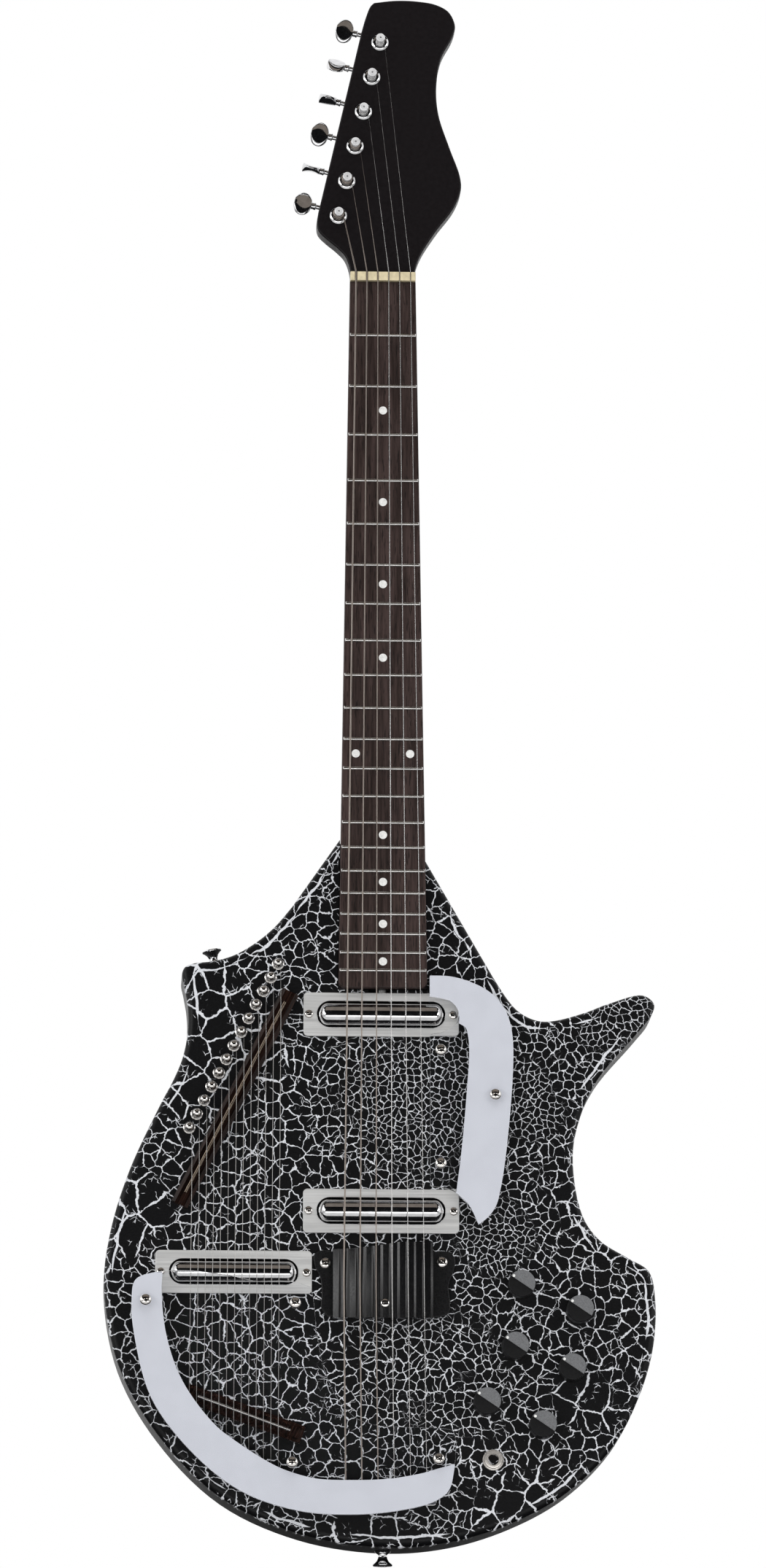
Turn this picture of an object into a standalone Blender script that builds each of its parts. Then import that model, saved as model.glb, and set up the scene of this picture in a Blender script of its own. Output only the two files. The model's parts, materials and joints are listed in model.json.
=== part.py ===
"""Electric sitar: six playing strings over a buzzing bridge, thirteen sympathetic strings beside them.

The parts are drawn as if the instrument lay on a bench: x across the strings, y up the neck from the
bridge line, z up from the flat back of the body, all in millimetres. One empty then stands the finished
instrument upright, with its face towards -Y and its neck along +Z.
"""

import math

import bmesh
import bpy
from mathutils import Matrix, Vector

MM = 0.001

# Driving dimensions
SCALE_LENGTH = 635.0
FRETS = 21
BODY_THICKNESS = 41.0
EDGE_RADIUS = 4.5
FIT = 0.3
RUNNING_CLEARANCE = 0.35

# Neck and fretboard
NUT_HALF_WIDTH = 20.8
HEEL_HALF_WIDTH = 27.6
BOARD_END_Y = 178.0
BOARD_THICKNESS = 5.5
BOARD_CORNER = 4.0
NECK_TOP = BODY_THICKNESS + 1.5
HEEL_THICKNESS = 17.0
HEEL_TOP_Y = 270.0
NECK_DEPTH_AT_NUT = 14.5
NECK_DEPTH_AT_HEEL = 16.5
FRET_WIDTH = 2.4
FRET_HEIGHT = 1.0
NUT_LENGTH = 5.6
NUT_HEIGHT = 7.9
HEAD_THICKNESS = 13.5
HEAD_STEP = 2.0
TRUSS_ROD_WIDTH = 6.0
TRUSS_ROD_SHORT_OF_NUT = 39.0
TRUSS_CHANNEL_DEPTH = 9.5
TRUSS_NUT_REACH = 3.0

# Tuners, in line along the left edge of the headstock
TUNERS = 6
FIRST_POST = Vector((-1.6, SCALE_LENGTH + 161.5))
LAST_POST = Vector((-28.1, SCALE_LENGTH + 45.2))
POST_RADIUS = 2.75
POST_WAIST = 2.2
POST_HEIGHT = 11.3
BUSHING_RADIUS = 5.5
BUSHING_TUBE = 4.2
BUSHING_HEIGHT = 2.0
WORM_OFFSET = 8.6
WORM_BELOW_HEAD = 5.2
WORM_RADIUS = 1.9
WORM_HALF_LENGTH = 4.0
SHAFT_RADIUS = 1.5
GEAR_THICKNESS = 2.6
HOUSING_WALL = 1.4
HOUSING_FLOOR = 1.2
BUTTON_REACH = 24.5
BUTTON_LENGTH = 12.0
BUTTON_WIDTH = 16.5
BUTTON_THICKNESS = 6.5
BUTTON_WAIST = 3.8
BUTTON_ROOT = 5.2
BUTTON_TURNS = (0, 45, 90, 0, 80, 10)

# Strings
NUT_STRING_X = -17.1
NUT_STRING_STEP = 6.9
BRIDGE_STRING_X = -24.2
BRIDGE_STRING_STEP = 9.9
TAIL_STRING_X = -22.9
TAIL_STRING_STEP = 9.92
STRING_RADII = (0.58, 0.46, 0.36, 0.27, 0.21, 0.17)
WRAPS = 3
LEAST_SELF_GAP = 0.4
SYMPATHETIC_RADIUS = 0.16

# Sympathetic side
PEGS = 13
FIRST_PEG = Vector((-65.0, 193.5))
LAST_PEG = Vector((-119.6, 89.7))
PEG_SHANK = 2.2
PEG_CLEARANCE = 0.2
PEG_DEPTH = 20.0
PEG_BALL = 3.0
PEG_COLLAR = 3.8
PEG_BALL_HEIGHT = 4.2
DRONE_BAR_WIDTH = 11.0
DRONE_BAR_HEIGHT = 7.2
DRONE_CHAMFER = 2.4

# Pickups: chrome tubes in aluminium rings
RING_LENGTH = 96.5
RING_WIDTH = 27.5
RING_THICKNESS = 2.0
TUBE_LENGTH = 78.4
TUBE_RADIUS = 7.7
TUBE_RISE = 5.0
PICKUPS = {"neck": (-0.9, 161.7), "bridge": (-0.9, 38.2), "drone": (-91.8, -0.7)}

# Buzz bridge
PLATE_THICKNESS = 2.2
BLOCK_HALF_WIDTH = 30.8
BLOCK_TOP = BODY_THICKNESS + 11.0
BLOCK_CROWN = 0.9
RIDGES = 12
RIDGE_DEPTH = 1.0

# Clear plates on spacers
GUARD_UNDERSIDE = BODY_THICKNESS + 7.5
GUARD_THICKNESS = 2.5
REST_UNDERSIDE = BODY_THICKNESS + 14.0
REST_THICKNESS = 3.0
SPACER_RADIUS = 2.6
SCREW_HEAD = 3.6

# Controls
KNOB_RADIUS = 8.5
KNOB_HEIGHT = 10.5
KNOB_STEP = 0.8
KNOB_SHAFT = 3.0
KNOB_POINTER_DEG = 146.0
KNOBS = ((85.6, -7.4), (121.6, -22.8), (81.5, -45.8), (116.5, -58.9), (64.1, -80.3), (98.4, -94.3))
POT_RADIUS = 8.2
POT_HEIGHT = 9.0
JACK_AT = Vector((68.0, -115.6))
JACK_NUT = 6.3
JACK_TUBE = 4.7
JACK_BORE = 3.4
TOP_WALL = 6.0
CAVITY_CORE = ((60.0, -122.0), (88.0, -120.0), (106.0, -106.0), (128.0, -60.0), (128.0, -4.0), (60.0, -4.0))
CAVITY_RADIUS = 8.0
COVER_LEDGE = 6.0
COVER_THICKNESS = 2.0

# Back
NECK_PLATE = (50.0, 62.0)
NECK_PLATE_Y = 222.0
NECK_PLATE_THICKNESS = 1.8
NECK_SCREW_RADIUS = 2.1
STRAP_BUTTON_HEIGHT = 9.5
STRAP_BUTTON_RADIUS = 6.2
STRAP_SIDE_X = -104.0

BODY_OUTLINE = (
    ((-26.3, 274.2), (-56.2, 230.8)),
    ((-56.2, 230.8), (-67.4, 217.5), (-79.3, 207.4), (-92.3, 199.7), (-105.3, 195.8), (-117.0, 194.3),
     (-122.6, 192.0), (-124.6, 187.5), (-123.1, 179.0), (-121.2, 168.0), (-120.6, 157.0),
     (-121.6, 145.0), (-124.4, 132.9), (-129.5, 120.5), (-137.1, 105.7), (-156.3, 63.5),
     (-167.9, 24.5), (-171.5, -10.0), (-162.4, -57.6), (-137.8, -100.7), (-98.8, -139.3),
     (-50.6, -161.1), (0.0, -169.0), (41.5, -165.7), (79.6, -153.8), (113.7, -134.8),
     (142.4, -105.9), (159.4, -72.5), (167.4, -43.6), (168.8, -15.0), (165.0, 2.5), (151.8, 11.0),
     (134.7, 21.8), (123.9, 37.7), (118.3, 74.5), (123.3, 99.8), (134.3, 123.1), (158.9, 152.3),
     (168.0, 164.0), (169.6, 171.0), (162.5, 176.4), (141.9, 171.2), (126.3, 165.1), (109.3, 160.2),
     (99.6, 159.3), (91.5, 161.5), (84.2, 166.1), (77.9, 173.4), (69.1, 187.2)),
    ((69.1, 187.2), (27.0, 260.8)),
)

# Measured from the nut's lower edge
HEAD_OUTLINE = (
    ((-20.4, -3.0), (-20.4, 8.0), (-23.7, 18.6), (-29.0, 24.5), (-36.2, 30.5), (-40.8, 35.5),
     (-41.8, 40.5), (-40.9, 47.5)),
    ((-40.9, 47.5), (-13.5, 168.5)),
    ((-13.5, 168.5), (-10.7, 178.6), (-7.7, 186.3), (-5.3, 188.8)),
    ((-5.3, 188.8), (8.9, 190.5), (22.1, 190.2), (34.3, 188.1), (42.7, 183.2), (46.7, 174.0),
     (45.0, 166.5), (37.7, 151.8), (34.6, 132.9), (35.9, 114.4), (43.0, 92.0), (49.5, 73.5),
     (50.2, 64.0), (45.7, 52.1), (34.0, 35.9), (24.2, 19.7), (20.6, 8.0), (20.6, -3.0)),
)

GUARD_OUTLINE = (
    ((29.0, 185.3), (41.6, 184.9), (52.9, 182.0), (64.7, 176.3), (72.8, 168.6), (77.8, 159.4),
     (80.5, 146.0), (80.3, 120.3), (75.8, 71.3), (72.4, 50.3), (69.9, 41.1), (65.3, 34.3), (59.0, 29.1)),
    ((59.0, 29.1), (52.5, 42.1), (43.0, 50.0), (29.0, 53.0)),
    ((29.0, 53.0), (29.0, 148.0)),
    ((29.0, 148.0), (38.0, 150.0), (46.0, 155.6)),
    ((46.0, 155.6), (46.6, 163.5), (41.5, 169.7), (34.5, 171.5), (29.0, 172.3)),
)

REST_OUTLINE = (
    ((-78.3, -8.4), (-95.8, -4.7), (-120.9, -1.9), (-142.9, -3.7), (-152.4, -8.0), (-154.6, -20.0),
     (-152.8, -41.9), (-142.2, -80.4), (-118.4, -112.5), (-87.2, -137.4), (-52.4, -149.2),
     (-20.4, -151.5), (8.1, -149.1), (30.8, -143.4), (39.8, -136.6), (43.0, -125.0), (44.7, -107.1)),
    ((44.7, -107.1), (42.5, -100.0), (35.0, -98.2)),
    ((35.0, -98.2), (-7.1, -96.2), (-18.2, -91.3), (-29.0, -79.0), (-35.7, -64.0), (-40.3, -44.0),
     (-42.9, -19.9), (-44.7, -11.8)),
    ((-44.7, -11.8), (-56.4, -8.3), (-78.3, -8.4)),
)

PLATE_OUTLINE = (
    ((-30.0, 10.5), (-42.3, 13.1)),
    ((-42.3, 13.1), (-38.5, -13.6), (-36.6, -27.7)),
    ((-36.6, -27.7), (37.6, -27.7)),
    ((37.6, -27.7), (41.9, -22.1), (41.4, -12.0), (44.4, 3.3), (44.9, 13.3)),
    ((44.9, 13.3), (-30.0, 10.5)),
)

GUARD_SCREWS = ((35.8, 138.3), (35.7, 67.1), (69.6, 110.5))
REST_SCREWS = ((-146.0, -20.3), (-54.2, -21.7), (-55.9, -119.9), (33.8, -117.3))


def clear_scene():
    for old in list(bpy.data.objects):
        bpy.data.objects.remove(old)


def finish(name, colour, roughness, metallic):
    made = bpy.data.materials.new(name)
    made.use_nodes = True
    shader = made.node_tree.nodes["Principled BSDF"]
    shader.inputs["Base Color"].default_value = (*colour, 1.0)
    shader.inputs["Roughness"].default_value = roughness
    shader.inputs["Metallic"].default_value = metallic
    return made


# Outlines

def smooth_chain(points, steps=10):
    """A centripetal Catmull-Rom curve through the points, which keeps its ends."""
    knots = [Vector(p) for p in points]
    if len(knots) == 2:
        return knots
    knots = [2 * knots[0] - knots[1], *knots, 2 * knots[-1] - knots[-2]]
    curve = [knots[1]]
    for a, b, c, d in zip(knots, knots[1:], knots[2:], knots[3:]):
        t1 = (b - a).length ** 0.5
        t2 = t1 + (c - b).length ** 0.5
        t3 = t2 + (d - c).length ** 0.5
        for step in range(1, steps + 1):
            t = t1 + (t2 - t1) * step / steps
            ab = a.lerp(b, t / t1)
            bc = b.lerp(c, (t - t1) / (t2 - t1))
            cd = c.lerp(d, (t - t2) / (t3 - t2))
            first = ab.lerp(bc, t / t2)
            second = bc.lerp(cd, (t - t1) / (t3 - t1))
            curve.append(first.lerp(second, (t - t1) / (t2 - t1)))
    return curve


def thinned(points, tolerance):
    """Drops the points of an open line that lie within the tolerance of the chord past them."""
    if len(points) < 3:
        return points
    start, end = points[0], points[-1]
    chord = (end - start).normalized()
    offsets = [abs((p - start).cross(chord)) if chord.length else (p - start).length for p in points]
    worst = max(range(len(points)), key=offsets.__getitem__)
    if offsets[worst] <= tolerance:
        return [start, end]
    return thinned(points[: worst + 1], tolerance)[:-1] + thinned(points[worst:], tolerance)


def outline(chains, tolerance=0.32):
    """One closed line from smooth chains that meet at corners."""
    line = []
    for chain in chains:
        line += thinned(smooth_chain(chain), tolerance)[:-1]
    last = Vector(chains[-1][-1])
    if (last - line[0]).length > 1e-3:
        line.append(last)
    return line


def rounded(core, radius, steps=4):
    """The line at one distance round a convex core, with an arc of some steps a quarter turn at each corner."""
    line = []
    for before, corner, after in zip(core[-1:] + core[:-1], core, core[1:] + core[:1]):
        corner = Vector(corner)
        arriving = corner - Vector(before)
        leaving = Vector(after) - corner
        start = math.atan2(-arriving.x, arriving.y)
        turn = (math.atan2(-leaving.x, leaving.y) - start) % (2 * math.pi)
        parts = max(1, round(steps * turn / (math.pi / 2)))
        for part in range(parts + 1):
            angle = start + turn * part / parts
            line.append(corner + radius * Vector((math.cos(angle), math.sin(angle))))
    return line


def rectangle(x0, y0, x1, y1, corner=0.0, steps=4):
    core = ((x0 + corner, y0 + corner), (x1 - corner, y0 + corner),
            (x1 - corner, y1 - corner), (x0 + corner, y1 - corner))
    if not corner:
        return [Vector(p) for p in core]
    return rounded(core, corner, steps)


def slot_shape(cx, cy, length, width, steps=4):
    return rectangle(cx - length / 2, cy - width / 2, cx + length / 2, cy + width / 2,
                     width / 2 - 0.01, steps)


def circle(cx, cy, radius, sides=16):
    return [Vector((cx + radius * math.cos(2 * math.pi * i / sides),
                    cy + radius * math.sin(2 * math.pi * i / sides))) for i in range(sides)]


# Solids, in millimetres until they become objects

def slab(line, z0, z1, round_over=0.0, segments=3):
    """An outline extruded from z0 to z1, with both rims rounded where a radius is given."""
    bm = bmesh.new()
    floor = bm.faces.new([bm.verts.new((p.x, p.y, z0)) for p in line])
    walls = bmesh.ops.extrude_face_region(bm, geom=[floor])["geom"]
    bmesh.ops.translate(bm, vec=(0, 0, z1 - z0), verts=[v for v in walls if isinstance(v, bmesh.types.BMVert)])
    bmesh.ops.recalc_face_normals(bm, faces=bm.faces)
    if round_over:
        rims = [e for e in bm.edges if abs(e.verts[0].co.z - e.verts[1].co.z) < 1e-6]
        bmesh.ops.bevel(bm, geom=rims, offset=round_over, segments=segments, profile=0.5,
                        affect="EDGES", clamp_overlap=True, material=-1)
    return bm


def turned(profile, sides=12):
    """A profile of (radius, height) pairs turned about the z axis."""
    bm = bmesh.new()
    points = [bm.verts.new((radius, 0, height)) for radius, height in profile]
    lines = [bm.edges.new(pair) for pair in zip(points, points[1:])]
    bmesh.ops.spin(bm, geom=points + lines, cent=(0, 0, 0), axis=(0, 0, 1), angle=2 * math.pi,
                   steps=sides, use_merge=True, use_duplicate=False)
    bmesh.ops.remove_doubles(bm, verts=bm.verts, dist=1e-4)
    bmesh.ops.recalc_face_normals(bm, faces=bm.faces)
    return bm


def loft(rings):
    """A closed skin over rings of as many points each."""
    bm = bmesh.new()
    rows = [[bm.verts.new(p) for p in ring] for ring in rings]
    for first, second in zip(rows, rows[1:]):
        for i in range(len(first)):
            j = (i + 1) % len(first)
            bm.faces.new((first[i], first[j], second[j], second[i]))
    bm.faces.new(rows[0])
    bm.faces.new(rows[-1])
    bmesh.ops.recalc_face_normals(bm, faces=bm.faces)
    return bm


def merged(*solids):
    """Several separate solids as one mesh."""
    whole = bmesh.new()
    for bm in solids:
        scrap = bpy.data.meshes.new("scrap")
        bm.to_mesh(scrap)
        whole.from_mesh(scrap)
        bpy.data.meshes.remove(scrap)
        bm.free()
    return whole


def moved(bm, x=0.0, y=0.0, z=0.0, turn=None):
    if turn:
        bmesh.ops.transform(bm, matrix=turn, verts=bm.verts)
    bmesh.ops.translate(bm, vec=(x, y, z), verts=bm.verts)
    return bm


def tube(points, radius, name="string"):
    """A round wire through the points."""
    curve = bpy.data.curves.new(name, "CURVE")
    curve.dimensions = "3D"
    curve.bevel_depth = radius
    curve.bevel_resolution = 1
    curve.use_fill_caps = True
    spline = curve.splines.new("POLY")
    spline.points.add(len(points) - 1)
    for knot, point in zip(spline.points, points):
        knot.co = (*point, 1.0)
    wire = bpy.data.objects.new(name, curve)
    bm = bmesh.new()
    scrap = bpy.data.meshes.new_from_object(wire)
    bm.from_mesh(scrap)
    bpy.data.objects.remove(wire)
    bpy.data.curves.remove(curve)
    bpy.data.meshes.remove(scrap)
    bmesh.ops.remove_doubles(bm, verts=bm.verts, dist=1e-4)
    bmesh.ops.recalc_face_normals(bm, faces=bm.faces)
    return bm


# Objects

def thing(name, bm, material, at=(0, 0, 0), turn=None):
    """A named object, placed in the instrument's frame."""
    bmesh.ops.scale(bm, vec=(MM, MM, MM), verts=bm.verts)
    mesh = bpy.data.meshes.new(name)
    bm.to_mesh(mesh)
    bm.free()
    mesh.shade_smooth()
    mesh.set_sharp_from_angle(angle=math.radians(35))
    mesh.materials.append(material)
    obj = bpy.data.objects.new(name, mesh)
    bpy.context.scene.collection.objects.link(obj)
    obj.location = Vector(at) * MM
    if turn:
        obj.rotation_euler = turn
    obj.parent = instrument
    return obj


def helper(name, bm):
    obj = thing(name, bm, black_lacquer)
    obj.hide_render = True
    obj.display_type = "WIRE"
    return obj


def join(obj, bm):
    step = obj.modifiers.new("join", "BOOLEAN")
    step.operation = "UNION"
    step.object = helper(obj.name + "_addition", bm)


def cut(obj, bm):
    step = obj.modifiers.new("cut", "BOOLEAN")
    step.operation = "DIFFERENCE"
    step.object = helper(obj.name + "_cutter", bm)


def pin(x, y, radius, z0, z1, sides=12):
    return slab(circle(x, y, radius, sides), z0, z1)


def hole(x, y, radius, z0, z1, sides=10):
    """A cutter whose flats, not its corners, stand at the radius."""
    return pin(x, y, radius / math.cos(math.pi / sides), z0, z1, sides)


# Places that several parts share

def fret_y(number):
    return SCALE_LENGTH * 2.0 ** (-number / 12.0)


def half_width(y):
    """Half the width of the neck at a place along it."""
    share = (SCALE_LENGTH - y) / (SCALE_LENGTH - BOARD_END_Y)
    return NUT_HALF_WIDTH + (HEEL_HALF_WIDTH - NUT_HALF_WIDTH) * share


HEAD_FACE = NECK_TOP - HEAD_STEP
HEAD_BACK = HEAD_FACE - HEAD_THICKNESS
BOARD_TOP = NECK_TOP + FIT + BOARD_THICKNESS
HEEL_BOTTOM = NECK_TOP - HEEL_THICKNESS
NUT_TOP = NECK_TOP + FIT + NUT_HEIGHT
POST_LINE = (FIRST_POST - LAST_POST).normalized()
SHAFT_DIRECTION = Vector((-POST_LINE.y, POST_LINE.x))
WORM_Z = HEAD_BACK - WORM_BELOW_HEAD
GEAR_RADIUS = WORM_OFFSET - WORM_RADIUS - FIT
HOUSING_REACH = GEAR_RADIUS + RUNNING_CLEARANCE + HOUSING_WALL
POST_BOTTOM = WORM_Z - 3.0
RING_TOP = BODY_THICKNESS + FIT + RING_THICKNESS
TUBE_CENTRE = RING_TOP + TUBE_RISE - 2 - TUBE_RADIUS + RING_THICKNESS
ROUT_FLOOR = TUBE_CENTRE - TUBE_RADIUS - FIT
PLATE_TOP = BODY_THICKNESS + FIT + PLATE_THICKNESS
CAVITY_CEILING = BODY_THICKNESS - TOP_WALL
DRONE_TOP = BODY_THICKNESS + FIT + DRONE_BAR_HEIGHT
DRONE_FRET_TOP = DRONE_TOP + 1.2
STRAP_END_Y = -169.0 - FIT


def along(first, last, count, index):
    return first.lerp(last, index / (count - 1))


def post_at(index):
    return along(FIRST_POST, LAST_POST, TUNERS, index)


def peg_at(index):
    return along(FIRST_PEG, LAST_PEG, PEGS, index)


# Body and neck

def make_body():
    body = thing("body", slab(outline(BODY_OUTLINE), 0, BODY_THICKNESS, EDGE_RADIUS, 2), crackle)
    pocket_end = BOARD_END_Y - FIT
    pocket = loft([
        [Vector((x, y, z)) for x, y in ((-half_width(y0) - FIT, y0), (half_width(y0) + FIT, y0),
                                        (half_width(y1) + FIT, y1), (-half_width(y1) - FIT, y1))]
        for z in (HEEL_BOTTOM - FIT, BODY_THICKNESS + 5) for y0, y1 in ((pocket_end, 300.0),)
    ])
    fronts = [pocket]
    for x, y in PICKUPS.values():
        rout = slot_shape(x, y, TUBE_LENGTH + 2 * FIT, 2 * TUBE_RADIUS + 2 * FIT)
        fronts.append(slab(rout, ROUT_FLOOR, BODY_THICKNESS + 5))
    fronts += [hole(*peg_at(i), PEG_SHANK + PEG_CLEARANCE, BODY_THICKNESS - PEG_DEPTH - 1,
                    BODY_THICKNESS + 5, 8) for i in range(PEGS)]
    cut(body, merged(*fronts))
    cut(body, slab(rectangle(-8.5, 172.0, 4.5, pocket_end + 1), 33.0, BODY_THICKNESS + 5))
    cavity = slab(rounded(CAVITY_CORE, CAVITY_RADIUS), -5, CAVITY_CEILING)
    plate_w, plate_l = NECK_PLATE
    recess = rectangle(-plate_w / 2 - FIT, NECK_PLATE_Y - plate_l / 2 - FIT,
                       plate_w / 2 + FIT, NECK_PLATE_Y + plate_l / 2 + FIT, 5.0)
    cut(body, merged(cavity, slab(recess, -5, NECK_PLATE_THICKNESS + 2 * FIT)))
    ledge = rounded(CAVITY_CORE, CAVITY_RADIUS + COVER_LEDGE)
    cut(body, slab(ledge, -5, COVER_THICKNESS + 2 * FIT))
    bores = [hole(x, y, KNOB_SHAFT + RUNNING_CLEARANCE, 30, BODY_THICKNESS + 5) for x, y in KNOBS]
    bores.append(hole(*JACK_AT, JACK_TUBE + FIT, 30, BODY_THICKNESS + 5))
    bores += [hole(x, y, NECK_SCREW_RADIUS + FIT, -5, HEEL_BOTTOM + 5, 8) for x, y in neck_screws()]
    cut(body, merged(*bores))
    return body


def neck_screws():
    plate_w, plate_l = NECK_PLATE
    return [(x * (plate_w / 2 - 7), NECK_PLATE_Y + y * (plate_l / 2 - 7))
            for x in (-1, 1) for y in (-1, 1)]


def neck_section(y, depth, curve_points=7):
    """Flat on top, short straight sides and a rounded back."""
    width = half_width(y)
    side = 2.5
    ring = [Vector((width, y, NECK_TOP)), Vector((-width, y, NECK_TOP))]
    for step in range(curve_points + 1):
        angle = math.pi * step / curve_points
        ring.append(Vector((-width * math.cos(angle), y,
                            NECK_TOP - side - (depth - side) * math.sin(angle) ** 0.8)))
    return ring


def make_neck():
    heel = loft([
        [Vector((-half_width(y), y, z)) for y in (BOARD_END_Y,)]
        + [Vector((half_width(BOARD_END_Y), BOARD_END_Y, z)), Vector((half_width(HEEL_TOP_Y), HEEL_TOP_Y, z)),
           Vector((-half_width(HEEL_TOP_Y), HEEL_TOP_Y, z))]
        for z in (HEEL_BOTTOM, NECK_TOP) for y in (BOARD_END_Y,)
    ])
    neck = thing("neck", heel, black_lacquer)
    stations = ((HEEL_TOP_Y - 20.0, NECK_DEPTH_AT_HEEL), (HEEL_TOP_Y, 16.14), (HEEL_TOP_Y + 30.0, 15.6),
                (SCALE_LENGTH - 185.0, 15.0), (SCALE_LENGTH - 15.0, NECK_DEPTH_AT_NUT),
                (SCALE_LENGTH - 1.0, 15.4), (SCALE_LENGTH + NUT_LENGTH + FIT, 15.9))
    join(neck, loft([neck_section(y, depth) for y, depth in stations]))
    head = [point + Vector((0.0, SCALE_LENGTH)) for point in outline(HEAD_OUTLINE)]
    join(neck, slab(head, HEAD_BACK, HEAD_FACE, 1.2, 1))
    posts = [hole(*post_at(i), BUSHING_TUBE + FIT, HEAD_BACK - 5, HEAD_FACE + 5, 8) for i in range(TUNERS)]
    screws = [hole(x, y, NECK_SCREW_RADIUS + FIT, HEEL_BOTTOM - 5, HEEL_BOTTOM + 9, 8)
              for x, y in neck_screws()]
    half = TRUSS_ROD_WIDTH / 2 + FIT
    channel = slab(rectangle(-half, BOARD_END_Y - 5, half, BOARD_END_Y + truss_rod_length() + FIT),
                   NECK_TOP - TRUSS_CHANNEL_DEPTH, NECK_TOP + 5)
    cut(neck, merged(*posts, *screws, channel))
    return neck


def truss_rod_length():
    return SCALE_LENGTH - TRUSS_ROD_SHORT_OF_NUT - BOARD_END_Y


def make_truss_rod():
    """The adjustable rod under the fretboard, with its nut in the slot at the board's end."""
    radius = TRUSS_ROD_WIDTH / 2
    rod = turned(((0, 0), (radius, 0), (radius, 9), (radius * 0.8, 9.5),
                  (radius * 0.8, truss_rod_length()), (0, truss_rod_length())), 8)
    lay = Matrix.Rotation(math.radians(-90), 4, "X")
    z = NECK_TOP - TRUSS_CHANNEL_DEPTH + FIT + radius
    return thing("truss_rod", moved(rod, 0, BOARD_END_Y - TRUSS_NUT_REACH, z, lay), steel)


def make_fretboard():
    y0, y1 = BOARD_END_Y, SCALE_LENGTH - FIT
    w0, w1 = half_width(y0), half_width(y1)
    line = []
    for cx, start in ((w0 - BOARD_CORNER, -90), (-w0 + BOARD_CORNER, -180)):
        turn = []
        for step in range(4):
            angle = math.radians(start + 90 * step / 3)
            turn.append(Vector((cx + BOARD_CORNER * math.cos(angle),
                                y0 + BOARD_CORNER + BOARD_CORNER * math.sin(angle))))
        line.append(turn)
    shape = line[1] + line[0] + [Vector((w1, y1)), Vector((-w1, y1))]
    bottom = NECK_TOP + FIT
    board = thing("fretboard", slab(shape, bottom, BOARD_TOP), rosewood)
    section = ((-1.0, -0.6), (1.0, -0.6), (1.0, 0.25), (0.55, 1.0), (-0.55, 1.0), (-1.0, 0.25))
    wires = []
    for number in range(1, FRETS + 1):
        y = fret_y(number)
        reach = half_width(y) - 0.8
        wires.append(loft([[Vector((x, y + along_y * FRET_WIDTH / 2, BOARD_TOP + up * FRET_HEIGHT))
                            for along_y, up in section] for x in (-reach, reach)]))
    join(board, merged(*wires))
    return board


def make_nut():
    """A slotted block: its profile across the strings, extruded along them."""
    half = NUT_HALF_WIDTH - 0.1
    bottom = NECK_TOP + FIT
    profile = [(half, bottom), (half, NUT_TOP - 0.6), (half - 0.6, NUT_TOP)]
    for index in reversed(range(TUNERS)):
        x = NUT_STRING_X + NUT_STRING_STEP * index
        radius = STRING_RADII[index] + FIT
        floor = nut_string_z() - radius
        profile += [(x + radius, NUT_TOP), (x + radius * 0.7, floor), (x - radius * 0.7, floor),
                    (x - radius, NUT_TOP)]
    profile += [(-half + 0.6, NUT_TOP), (-half, NUT_TOP - 0.6), (-half, bottom)]
    rings = [[Vector((x, y, z)) for x, z in profile] for y in (SCALE_LENGTH, SCALE_LENGTH + NUT_LENGTH)]
    return thing("nut", loft(rings), bone)


def nut_string_z():
    return NUT_TOP - 0.3


# Tuners

def make_tuner_plate():
    """The strip on the back of the headstock with its six gear housings and the bushings in front."""
    count = TUNERS
    across = SHAFT_DIRECTION
    middle = post_at((count - 1) / 2)
    span = (FIRST_POST - LAST_POST).length / 2
    turn = Matrix.Rotation(math.atan2(POST_LINE.y, POST_LINE.x), 4, "Z")
    strip_z = HEAD_BACK - FIT
    reach = HOUSING_REACH
    strip = moved(slab(rectangle(-span - 10, -reach - 0.5, span + 14, reach + 0.5, 2.5, 2), strip_z - 1.4, strip_z),
                  middle.x, middle.y, 0, turn)
    plate = thing("tuner_plate", strip, chrome)
    housings, bushings, bores, worms, gears = [], [], [], [], []
    floor = POST_BOTTOM - FIT - HOUSING_FLOOR
    gear_room = GEAR_THICKNESS / 2 + RUNNING_CLEARANCE
    for index in range(count):
        post = post_at(index)
        far = WORM_OFFSET + WORM_RADIUS + RUNNING_CLEARANCE + HOUSING_WALL
        box = slab(rectangle(-reach, -reach, far, reach, 1.5, 1), floor, strip_z - 0.7)
        housings.append(moved(box, post.x, post.y, 0, turn))
        sleeve = turned(((0, strip_z - 1.0), (BUSHING_TUBE, strip_z - 1.0), (BUSHING_TUBE, HEAD_FACE + FIT),
                         (BUSHING_RADIUS, HEAD_FACE + FIT), (BUSHING_RADIUS, HEAD_FACE + FIT + 1.2),
                         (BUSHING_RADIUS - 1.2, HEAD_FACE + BUSHING_HEIGHT),
                         (0, HEAD_FACE + BUSHING_HEIGHT)), 9)
        bushings.append(moved(sleeve, post.x, post.y))
        bores.append(hole(post.x, post.y, POST_RADIUS + RUNNING_CLEARANCE, POST_BOTTOM - FIT, HEAD_FACE + 9))
        worm = post + POST_LINE * WORM_OFFSET
        room = (WORM_RADIUS + RUNNING_CLEARANCE) / math.cos(math.pi / 6)
        channel = turned(((0, 0), (room, 0), (room, 20), (0, 20)), 6)
        aim = Vector((across.x, across.y, 0)).to_track_quat("Z", "Y").to_matrix().to_4x4()
        start = worm - across * (WORM_HALF_LENGTH + RUNNING_CLEARANCE)
        worms.append(moved(channel, start.x, start.y, WORM_Z, aim))
        gears.append(hole(post.x, post.y, GEAR_RADIUS + RUNNING_CLEARANCE, WORM_Z - gear_room, WORM_Z + gear_room))
    join(plate, merged(*housings))
    join(plate, merged(*bushings))
    cut(plate, merged(*gears))
    cut(plate, merged(*worms))
    cut(plate, merged(*bores))


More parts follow.
